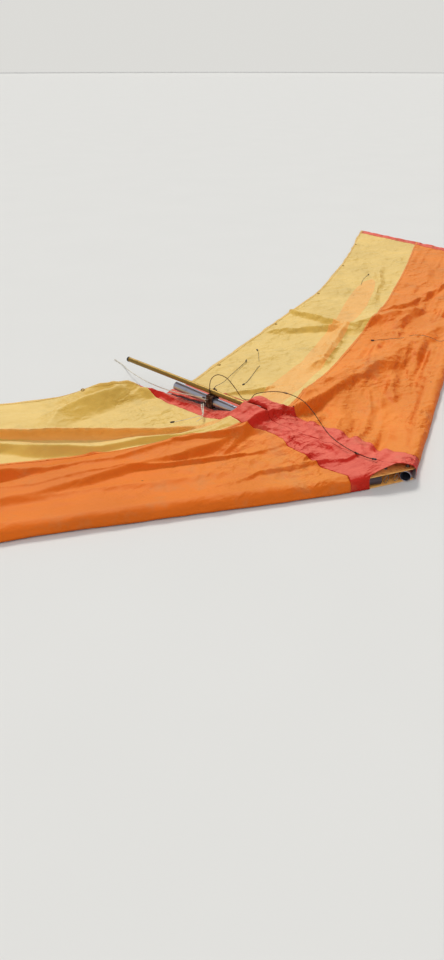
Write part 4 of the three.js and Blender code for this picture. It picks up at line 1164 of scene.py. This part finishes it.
class GLIDER_OT_stage(bpy.types.Operator):
    """Makes the floor, the light and the camera"""
    bl_idname = "glider.stage"
    bl_label = "Stage"

    def execute(self, context):
        scene, settings = context.scene, context.scene.glider_stage
        make_floor("pale_floor", settings.floor)
        # Far off, the floor turns up into a pale wall, so that no horizon shows
        make_backdrop("pale_backdrop", settings.floor)
        sides = 96
        next_to = [(i, (i + 1) % sides) for i in range(sides)]
        self.shell("floor", "pale_floor", sides, [(90, -0.0012)], [tuple(range(sides))])
        self.shell("backdrop", "pale_backdrop", sides, [(88, -0.0011), (89, 9.0)],
                   [(i, j, sides + j, sides + i) for i, j in next_to])

        scene.world = scene.world or bpy.data.worlds.new("studio")
        scene.world.use_nodes = True
        light = scene.world.node_tree.nodes["Background"].inputs
        light[0].default_value, light[1].default_value = linear("#E4E6EA"), settings.sky

        for name, way, spread, power, colour in (
                ("key", (0.42, 0.62, 1.0), 14, settings.key, (1.0, 0.98, 0.94)),
                ("fill", (-0.8, -0.5, 1.0), 70, settings.key * 0.53, (0.95, 0.97, 1.0))):
            lamp = bpy.data.lights.new(name, "SUN")
            lamp.angle, lamp.energy, lamp.color = math.radians(spread), power, colour
            self.set_up(scene, name, lamp, np.array(way) * 6, Vector(way).to_track_quat("Z", "Y"))

        data = bpy.data.cameras.new("camera")
        data.sensor_width, data.lens = CAMERA["sensor"], CAMERA["lens"]
        down = math.radians(CAMERA["down"])
        aim = Vector((*(part * math.cos(down) for part in CAMERA["way"]), -math.sin(down)))
        scene.camera = self.set_up(scene, "camera", data, CAMERA["place"], aim.to_track_quat("-Z", "Y"))
        scene.view_settings.view_transform = "Standard"
        return {"FINISHED"}

    def shell(self, name, material, sides, rings, faces):
        """Rings of points, each with its radius and height, as a piece of the stage."""
        turn = np.linspace(0, 2 * math.pi, sides, endpoint=False)
        mesh = bpy.data.meshes.new(name)
        mesh.from_pydata([(radius * math.cos(t), radius * math.sin(t), height) for radius, height in rings
                          for t in turn], [], faces)
        new_piece(name, mesh, material)

    def set_up(self, scene, name, data, place, turn):
        made = bpy.data.objects.new(name, data)
        scene.collection.objects.link(made)
        made.location, made.rotation_euler = to_row(place), turn.to_euler()
        return made


def wire_piece(name, path, radius, material, carrier, around=10):
    return fit(new_piece(name, sweep_mesh(name, path, radius, around), material), carrier)


def pressed_sleeve(name, path, start, length, radius, material, carrier):
    """A sleeve pressed on a wire from one distance along it, with rounded ends."""
    places = np.linspace(start, start + length, 9)
    part = np.stack([np.interp(places, distances(path), path[:, axis]) for axis in range(3)], axis=-1)
    shape = radius * np.array([0.55, 0.85, 1.0, 0.88, 0.96, 0.88, 1.0, 0.85, 0.55])
    return wire_piece(name, part, shape, material, carrier, 12)


class GLIDER_OT_stays(bpy.types.Operator):
    """Makes the slack stays and the loose wires with their fittings"""
    bl_idname = "glider.stays"
    bl_label = "Stays"

    def execute(self, context):
        for name, stay in STAYS.items():
            self.stay(name, stay)
        for name, (radius, route) in LOOSE_WIRES.items():
            self.loose_wire(name, radius / 1000, mm(route), context.scene.glider_cloth.crumple)
        return {"FINISHED"}

    def stay(self, name, stay):
        path = spline(stay["route"], stay["steps"])
        carrier, slot = WINGS.get(stay.get("side"), "root"), SLOTS[stay["finish"]]
        length = float(distances(path)[-1])
        bare_from, bare_radius = stay.get("frayed", (1.0, 0.0))
        radii = np.where(np.linspace(0, 1, len(path)) > bare_from, bare_radius, stay["radius"])
        rope = wire_piece(f"{name}_wire", path, radii, stay["finish"], carrier)
        if name in frame["nodes"]:
            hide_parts(name)
        for index, (start, size, radius) in enumerate(stay["sleeves"]):
            label = f"{name}_sleeve_{index + 1}" if name in frame["nodes"] else f"{name}_sleeve"
            pressed_sleeve(label, path, start, size, radius, "rusted_steel", carrier)
        if stay["end"] == "fitting":
            pressed_sleeve(f"{name}_end", path, length - 0.024, 0.0235, 0.0046, "black_moulding",
                                        carrier)

    def loose_wire(self, name, radius, route, crumple):
        """A thin wire that lies on the left wing's cloth, with its small fitting."""
        wing, points = WINGS["left"], 90
        mean = np.ones(9) / 9
        x, y = (np.interp(np.linspace(0, 1, points), np.linspace(0, 1, len(route)), route[:, axis])
                for axis in (0, 1))
        for values in (x, y):
            values[4:-4] = np.convolve(values, mean, mode="valid")
        z = drape(wing, x, y, crumple)[:, 2]
        high = np.array([z[max(0, i - 3):i + 4].max() for i in range(points)])
        high[4:-4] = np.convolve(high, mean, mode="valid")
        path = to_row(np.stack([x, y, np.maximum(high, z) + radius + 0.0012], axis=-1))
        length = float(distances(path)[-1])
        rope = wire_piece(f"{name}_wire", path, radius, "dark_stay_wire", wing, 8)
        end = pressed_sleeve(f"{name}_end", path, length - 0.022, 0.0215, 0.005, "black_moulding", wing)


class GLIDER_OT_tubes(bpy.types.Operator):
    """Makes the frame's hollow tubes"""
    bl_idname = "glider.tubes"
    bl_label = "Tubes"

    def execute(self, context):
        self.wall = context.scene.glider_frame.wall
        self.tube("keel", *KEEL, "root", "keel_tube")
        for side, wing in WINGS.items():
            at, bar, splice = wing.edge_point, wing.bar_point, EDGE_SPLICE + SOLID_GAP
            self.tube(f"leading_edge_front_tube_{side}", at(EDGE_ENDS[0]), at(EDGE_SPLICE), EDGE_RADIUS,
                      wing.edge_body, f"leading_edge_front_{side}")
            self.tube(f"leading_edge_rear_tube_{side}", at(splice), at(EDGE_ENDS[1]), EDGE_REAR_RADIUS,
                      wing.edge_body, f"leading_edge_rear_{side}")
            self.tube(f"crossbar_tube_skin_{side}", bar(BAR_RUN[0]), bar(BAR_RUN[1]), BAR_RADIUS,
                      wing.bar_body, f"crossbar_tube_{side}")
            self.tube(f"downtube_skin_{side}", bar(0.15, 0.0335, FRAME_TUBE_Z),
                      bar(1.65, 0.0335, FRAME_TUBE_Z), FRAME_TUBE, wing.bar_body, f"downtube_{side}")
            self.cap(side, wing)
        bar = WINGS["right"].bar_point
        self.tube("base_bar_skin", bar(0.3, 0.062, FRAME_TUBE_Z), bar(1.75, 0.062, FRAME_TUBE_Z), FRAME_TUBE,
                  WINGS["right"].bar_body, "base_bar")
        self.mast(*MAST)
        return {"FINISHED"}

    def turned(self, name, start, end, outline, material, body, node, sharp):
        fit(new_piece(name, pipe_mesh(name, start, end, outline), material), body, node, sharp)

    def tube(self, name, start, end, radius, body, node):
        outline = tube_outline(math.dist(start, end), radius, self.wall)
        self.turned(name, start, end, outline, "clear_anodised_tube", body, node, 40)

    def cap(self, side, wing):
        """The moulded cap on a leading edge's tip: a plug with a domed end and a string groove."""
        radius = EDGE_REAR_RADIUS + 0.0015
        outline = [(0, 0.0004), (0, radius - 0.001), (0.001, radius), (0.026, radius),
                   (0.027, radius - 0.0025),
                   (0.031, radius - 0.0025), (0.032, radius), (0.038, radius - 0.001),
                   (0.0428, radius * 0.72), (0.0447, radius * 0.36), (0.0447, 0.0004)]
        start, end = (wing.edge_point(EDGE_ENDS[1] + ahead) for ahead in (SOLID_GAP, 1))
        self.turned(f"tip_plug_{side}", start, end, outline, "black_moulding", wing.edge_body,
                    f"tip_cap_{side}", 30)

    def mast(self, pivot, top, radius):
        """The kingpost: a gold tube in a moulded foot, with a capped head."""
        pivot, length = np.array(pivot), math.dist(pivot, top)
        along = (np.array(top) - pivot) / length
        foot = [(0, 0.0004), (0, radius * 0.8), (0.003, radius), (0.030, radius), (0.031, radius - 0.001),
                (0.033, radius - 0.001), (0.034, radius - 0.002), (0.034, 0.0004)]
        head = [(0, 0.0004), (0, radius + 0.0004), (0.0006, radius + 0.001), (0.009, radius + 0.001),
                (0.0125, radius * 0.8), (0.0137, radius * 0.4), (0.0137, 0.0004)]
        tube_from = 0.02 + SOLID_GAP
        skin = tube_outline(length - tube_from, radius, 0.0015)
        for name, node, start, outline, material in (
                ("kingpost_foot_plug", "kingpost_foot", -0.014, foot, "black_moulding"),
                ("kingpost_skin", "kingpost_tube", tube_from, skin, "gold_anodised_tube"),
                ("kingpost_cap", "kingpost_head", length + SOLID_GAP, head, "black_moulding")):
            begin = pivot + along * start
            self.turned(name, begin, begin + along, outline, material, "kingpost", node, 32)


class GLIDER_OT_brackets(bpy.types.Operator):
    """Makes the nose plates, the brackets, the crossbars' tips and the straps"""
    bl_idname = "glider.brackets"
    bl_label = "Brackets"

    def execute(self, context):
        dressed_copy("nose_plate_upper", "nose_plate_top", "orange_coated_plate", "root")
        dressed_copy("nose_plate_lower", "nose_plate_bottom", "orange_coated_plate", "root")
        dressed_copy("keel_centre_bracket", "crossbar_bracket", "weathered_steel", "root", 0.0006)
        for side, wing in WINGS.items():
            dressed_copy(f"junction_plate_{side}", f"junction_bracket_{side}", "weathered_steel",
                         wing.edge_body)
            dressed_copy(f"crossbar_lug_{side}", f"crossbar_tip_{side}", "weathered_steel", wing.bar_body)
            for index in (1, 2):
                dressed_copy(f"webbing_band_{index}_{side}", f"strap_{index}_{side}", "strap_webbing",
                             wing.bar_body, 0.0005)
        self.rear_bracket()
        self.nose_loops()
        return {"FINISHED"}

    def rear_bracket(self):
        """The rigging's bracket on the keel: a box of steel plates with a side lug, open along the keel."""
        mesh = bpy.data.meshes.new("rear_bracket_plates")
        with edited(mesh) as shape:
            for low, high in (((-30, 1070, 42), (30, 1110, 45.5)), ((-30, 1070, 108), (30, 1110, 112.5)),
                              ((-30, 1070, 45.2), (-26.2, 1110, 108.2)),
                              ((26.2, 1070, 45.2), (30, 1110, 108.2)),
                              ((-52, 1084, 78), (-29.8, 1096, 96)), ((-26, 1074, 100.5), (26, 1106, 107.8))):
                low, high = to_row(mm(low)), to_row(mm(high))
                block = Matrix.Translation((low + high) / 2) @ Matrix.Diagonal((*(high - low), 1))
                made = bmesh.ops.create_cube(shape, size=1, matrix=block)
                edges = {edge for vertex in made["verts"] for edge in vertex.link_edges}
                bmesh.ops.bevel(shape, geom=list(edges), offset=0.0007, segments=2, profile=0.7,
                                affect="EDGES")
        fit(new_piece("rear_bracket_plates", mesh, "rusted_steel"), "root", "rear_bracket", 35)
        # A shackle stands on the bracket beside the kingpost, where the wires' ends meet
        turn = np.linspace(-0.15, math.pi + 0.15, 26)
        bow = np.stack([0.019 + 0.0 * turn, 1.090 + 0.014 * np.cos(turn), 0.121 + 0.017 * np.sin(turn)],
                       axis=-1)
        legs = np.concatenate([[bow[0] - (0, 0, 0.006)], bow, [bow[-1] - (0, 0, 0.006)]])
        wire_piece("rear_shackle", to_row(legs), 0.0032, "rusted_steel", "root", 12)

    def nose_loops(self):
        """Two cable eyes that hang from the front of the nose plates."""
        turn = np.append(np.linspace(0, 2 * math.pi, 40, endpoint=False), 0)
        wide = 0.0105 * np.sin(turn)
        for index, (x, y) in enumerate(((-0.040, 0.030), (0.006, 0.006))):
            path = np.stack([x + wide * 0.88, y - 0.012 + wide * -0.47 - 0.003 * (1 + np.cos(turn)),
                             0.033 + 0.021 * np.cos(turn)], axis=-1)
            wire_piece(f"nose_eye_{index + 1}", to_row(path), 0.0014, "weathered_steel", "root", 8)


class GLIDER_OT_fasteners(bpy.types.Operator):
    """Sets bolts and rivets on the brackets and tubes with Geometry Nodes"""
    bl_idname = "glider.fasteners"
    bl_label = "Fasteners"

    def execute(self, context):
        flats = context.scene.glider_frame.bolt_flats
        bolts, rivets = fastener_tree("weathered_steel"), fastener_tree("clear_anodised_tube")
        up, down, left, right = (0, 0, 1), (0, 0, -1), (1, 0, 0), (-1, 0, 0)
        root = [((0, 0.085, 0.0588), up), ((0, 0.045, 0.0588), up), ((0.034, 0.755, 0.0785), left),
                ((0.034, 0.785, 0.0785), left), ((-0.034, 0.755, 0.0785), right),
                ((-0.034, 0.785, 0.0785), right),
                ((0.030, 1.09, 0.055), left), ((-0.030, 1.09, 0.055), right), ((0.030, 1.09, 0.100), left)]
        pivots = [pivot for wing in WINGS.values() for pivot in (
            ((*wing.bolt, 0.0588), up), ((*wing.hinge, 0.0671), up), ((*wing.hinge, 0.0209), down))]
        fork = [((0.018, 0.79, 0.12), left), ((-0.018, 0.79, 0.12), right)]
        self.grown("keel_bolts", root, bolts, "root", flats * 0.8)
        self.grown("pivot_bolts", pivots, bolts, "root", flats)
        self.grown("fork_bolt", fork, bolts, "root", flats * 0.85)
        for side, wing in WINGS.items():
            places = [((*wing.plan(JUNCTION_RUN + offset, 0.0295), 0.039), (*wing.behind, 0))
                      for offset in (-0.036, 0.036)]
            self.grown(f"junction_bolts_{side}", places, bolts, wing.edge_body, flats * 0.7)
            places = [(wing.bar_point(BAR_RUN[1] - offset, -BAR_RADIUS), (*-wing.bar_front, 0))
                      for offset in (0.03, 0.07)]
            self.grown(f"crossbar_rivets_{side}", places, rivets, wing.bar_body, flats * 0.5,
                       "clear_anodised_tube")
        return {"FINISHED"}

    def grown(self, name, places, tree, body, flats, material="weathered_steel"):
        points, facings = zip(*places)
        piece = grow(name, to_row(points), facings, [], tree, material,
                     **{"Across flats": flats, "Head height": flats * 0.42, "Washer radius": flats * 0.82})
        outward(piece.data)
        fit(piece, body)


class GLIDER_OT_sail(bpy.types.Operator):
    """Makes the sail's cloth panels, draped over the frame and the floor"""
    bl_idname = "glider.sail"
    bl_label = "Sail"

    def execute(self, context):
        cloth = context.scene.glider_cloth
        for side, wing in WINGS.items():
            length = POCKET_RUN[1] - POCKET_RUN[0]
            # The right wing lies nearest to the camera, so its fine mesh goes on for longer
            fine_for = 2.0 if side == "right" else 1.4
            steps = [0.0]
            while steps[-1] < length * HEM_SPAN:
                steps.append(steps[-1] + cloth.step * (1 + 0.6 * ramp(steps[-1], fine_for, fine_for + 0.8)))
            spans, hem = np.array(steps) / steps[-1] * HEM_SPAN, np.linspace(HEM_SPAN, 1, 10)
            front = np.linspace(0, SEAM_SHARE, int(SEAM_SHARE * 1.4 / cloth.step))
            rear = np.linspace(SEAM_SHARE, 1, int((1 - SEAM_SHARE) * 1.4 / cloth.step))
            downs = np.linspace(1, 0, 12)[:-1]
            for kind, rows, columns, colour, node in (
                    ("orange", spans, front, "orange", f"orange_panel_{side}"),
                    ("yellow", spans, rear, "yellow", f"yellow_panel_{side}"),
                    ("hem", hem, np.concatenate([front, rear[1:]]), "red", f"tip_hem_{side}")):
                grid = sail_grid(wing, rows, columns, cloth.crumple)
                if kind != "yellow":
                    runs = CLOTH_START + (POCKET_RUN[1] - CLOTH_START) * rows
                    grid = np.concatenate([to_row(front_wrap(wing, runs, downs)), grid], axis=1)
                self.panel(f"{kind}_cloth_{side}", grid, colour, wing, node)
            grid = red_grid(wing, np.linspace(0, 1, 24), np.linspace(0, 1, int(1.5 / cloth.step)), downs,
                            cloth.crumple)
            self.panel(f"red_cloth_{side}", grid, "red", wing, f"red_panel_{side}")
            self.pocket(f"pocket_cloth_{side}", wing)
        return {"FINISHED"}

    def panel(self, name, grid, colour, wing, node):
        piece = new_piece(name, grid_mesh(name, grid), f"{colour}_sailcloth")
        place = grid.reshape(-1, 3) - ORIGIN
        if wing.side == "right":
            set_values(piece.data, "taut", np.interp(abs(place[:, 0]), [0.25, 0.7], [0, 0.55]))
        fit(piece, wing, node)
        thicken(piece, "cloth thickness", -1)
        if colour == "yellow":
            # How far inside the amber stripe each point lies
            run, back = wing.coords(place[:, 0], place[:, 1])
            stripe = STRIPE[wing.side]
            set_values(piece.data, "stripe",
                       np.minimum(back - look_up(stripe, run), look_up(stripe, run, 2) - back))

    def pocket(self, name, wing):
        """The sleeve sewn round a leading edge under the cloth's front, open at the crossbar's bracket."""
        run, angle = np.meshgrid(np.linspace(*POCKET_RUN, 300), np.linspace(0, 2 * math.pi, 33),
                                 indexing="ij")
        radius = POCKET_RADIUS + 0.0007 * facets(run / 0.09, angle / 0.9, 71)
        grid = np.stack([*wing.plan(run, radius * np.cos(angle)), EDGE_Z + radius * np.sin(angle)], axis=-1)
        mesh = grid_mesh(name, to_row(grid))
        with edited(mesh) as shape:
            bmesh.ops.remove_doubles(shape, verts=shape.verts, dist=1e-5)
            gone = []
            for face in shape.faces:
                place = face.calc_center_median() - Vector(ORIGIN)
                at, behind = wing.coords(place.x, place.y)
                if abs(at - JUNCTION_RUN) < 0.052 and behind > 0.013 and 0.007 < place.z < 0.051:
                    gone.append(face)
            bmesh.ops.delete(shape, geom=gone, context="FACES")
            bmesh.ops.recalc_face_normals(shape, faces=shape.faces)
        piece = new_piece(name, mesh, "orange_sailcloth")
        fit(piece, wing.edge_body, f"pocket_{wing.side}")
        thicken(piece, "cloth thickness", -1)


def facing_up(vectors):
    """Unit vectors along the given ones, turned upwards."""
    return vectors / np.linalg.norm(vectors, axis=1)[:, None] * np.sign(vectors[:, 2:3])


def on_cloth(wing, places, cloth):
    """Row-frame points on the cloth at rows of span and share."""
    return to_row(drape(wing, *wing.station(places[:, 0], places[:, 1]), cloth.crumple))


class GLIDER_OT_seams(bpy.types.Operator):
    """Makes the seam tapes and hems, and their stitches with Geometry Nodes"""
    bl_idname = "glider.seams"
    bl_label = "Seams"

    def execute(self, context):
        cloth, tree = context.scene.glider_cloth, stitch_tree("sail_thread")
        spans, shares = np.linspace(0.002, 0.998, 330), np.linspace(0.002, 0.998, 120)
        # Half the tape's width as a share of the chord or of the span
        over_chord, over_span = np.array([0, cloth.tape / 2 / 1.35]), np.array([cloth.tape / 2 / 4.3, 0])
        for side, wing in WINGS.items():
            rows, facings, edges = [], [], []
            for name, colour, places, half in (
                    ("mid_seam", "orange", [(span, SEAM_SHARE) for span in spans], over_chord),
                    ("trailing_hem", "yellow", [(span, 0.991) for span in spans], over_chord),
                    ("tip_seam", "red", [(HEM_SPAN, share) for share in shares], over_span)):
                places = np.array(places)
                left, centre, right = (on_cloth(wing, np.clip(places + shift, 0, 1), cloth)
                                       for shift in (-half, 0 * half, half))
                normal = facing_up(np.cross(np.gradient(centre, axis=0), right - left))
                self.tape(f"{name}_{side}", left, right, normal, colour, wing)
                for row in (0.28, 0.72):
                    begin = sum(len(r) for r in rows)
                    rows.append(left * (1 - row) + right * row + normal * 0.0012)
                    facings.append(normal)
                    edges += [(begin + i, begin + i + 1) for i in range(len(places) - 1)]
            piece = grow(f"stitches_{side}", np.concatenate(rows), np.concatenate(facings), edges, tree,
                         "sail_thread", Pitch=cloth.stitch_pitch)
            fit(piece, wing)
        return {"FINISHED"}

    def tape(self, name, left, right, normal, colour, wing):
        rise = normal * 0.0009
        grid = np.stack([left, left * 0.8 + right * 0.2 + rise, left * 0.2 + right * 0.8 + rise, right],
                        axis=1)
        mesh = grid_mesh(name, grid)
        if colour == "yellow":
            set_values(mesh, "stripe", np.full(len(mesh.vertices), -1))
        thicken(fit(new_piece(name, mesh, f"{colour}_sailcloth"), wing), "tape thickness", 1)


class GLIDER_OT_grommets(bpy.types.Operator):
    """Sets brass grommets in the tip hems and the trailing edge with Geometry Nodes"""
    bl_idname = "glider.grommets"
    bl_label = "Grommets"

    def execute(self, context):
        tree = grommet_tree("tarnished_brass")
        places = np.array([(0.987, share) for share in (0.03, 0.35, 0.66, 0.975)]
                          + [(span, 0.978) for span in (0.08, 0.28, 0.48, 0.68, 0.86)])
        for side, wing in WINGS.items():
            spot, along, across = (on_cloth(wing, places + shift, context.scene.glider_cloth)
                                   for shift in ((0, 0), (0.001, 0), (0, -0.004)))
            normal = facing_up(np.cross(along - spot, across - spot))
            fit(grow(f"grommets_{side}", spot + normal * 0.0012, normal, [], tree, "tarnished_brass"), wing)
        return {"FINISHED"}


STEPS = ("finishes", "stage", "stays", "tubes", "brackets", "fasteners", "sail", "seams", "grommets")


class GLIDER_PT_panel(bpy.types.Panel):
    """Lists the glider's steps and settings"""
    bl_idname = "GLIDER_PT_panel"
    bl_label = "Hang Glider"
    bl_space_type = "VIEW_3D"
    bl_region_type = "UI"
    bl_category = "Glider"

    def draw(self, context):
        for group in (context.scene.glider_cloth, context.scene.glider_frame, context.scene.glider_stage):
            box = self.layout.box()
            for name in group.__annotations__:
                box.prop(group, name)
        for step in STEPS:
            self.layout.operator(f"glider.{step}")


CLASSES = (GliderCloth, GliderFrame, GliderStage, GLIDER_OT_finishes, GLIDER_OT_stage, GLIDER_OT_stays,
           GLIDER_OT_tubes, GLIDER_OT_brackets, GLIDER_OT_fasteners, GLIDER_OT_sail, GLIDER_OT_seams,
           GLIDER_OT_grommets, GLIDER_PT_panel)


def register():
    for kind in CLASSES:
        bpy.utils.register_class(kind)
    bpy.types.Scene.glider_cloth = bpy.props.PointerProperty(type=GliderCloth)
    bpy.types.Scene.glider_frame = bpy.props.PointerProperty(type=GliderFrame)
    bpy.types.Scene.glider_stage = bpy.props.PointerProperty(type=GliderStage)


def unregister():
    del bpy.types.Scene.glider_cloth, bpy.types.Scene.glider_frame, bpy.types.Scene.glider_stage
    for kind in reversed(CLASSES):
        bpy.utils.unregister_class(kind)


def main():
    register()
    for step in STEPS:
        getattr(bpy.ops.glider, step)()


if __name__ == "__main__":
    main()
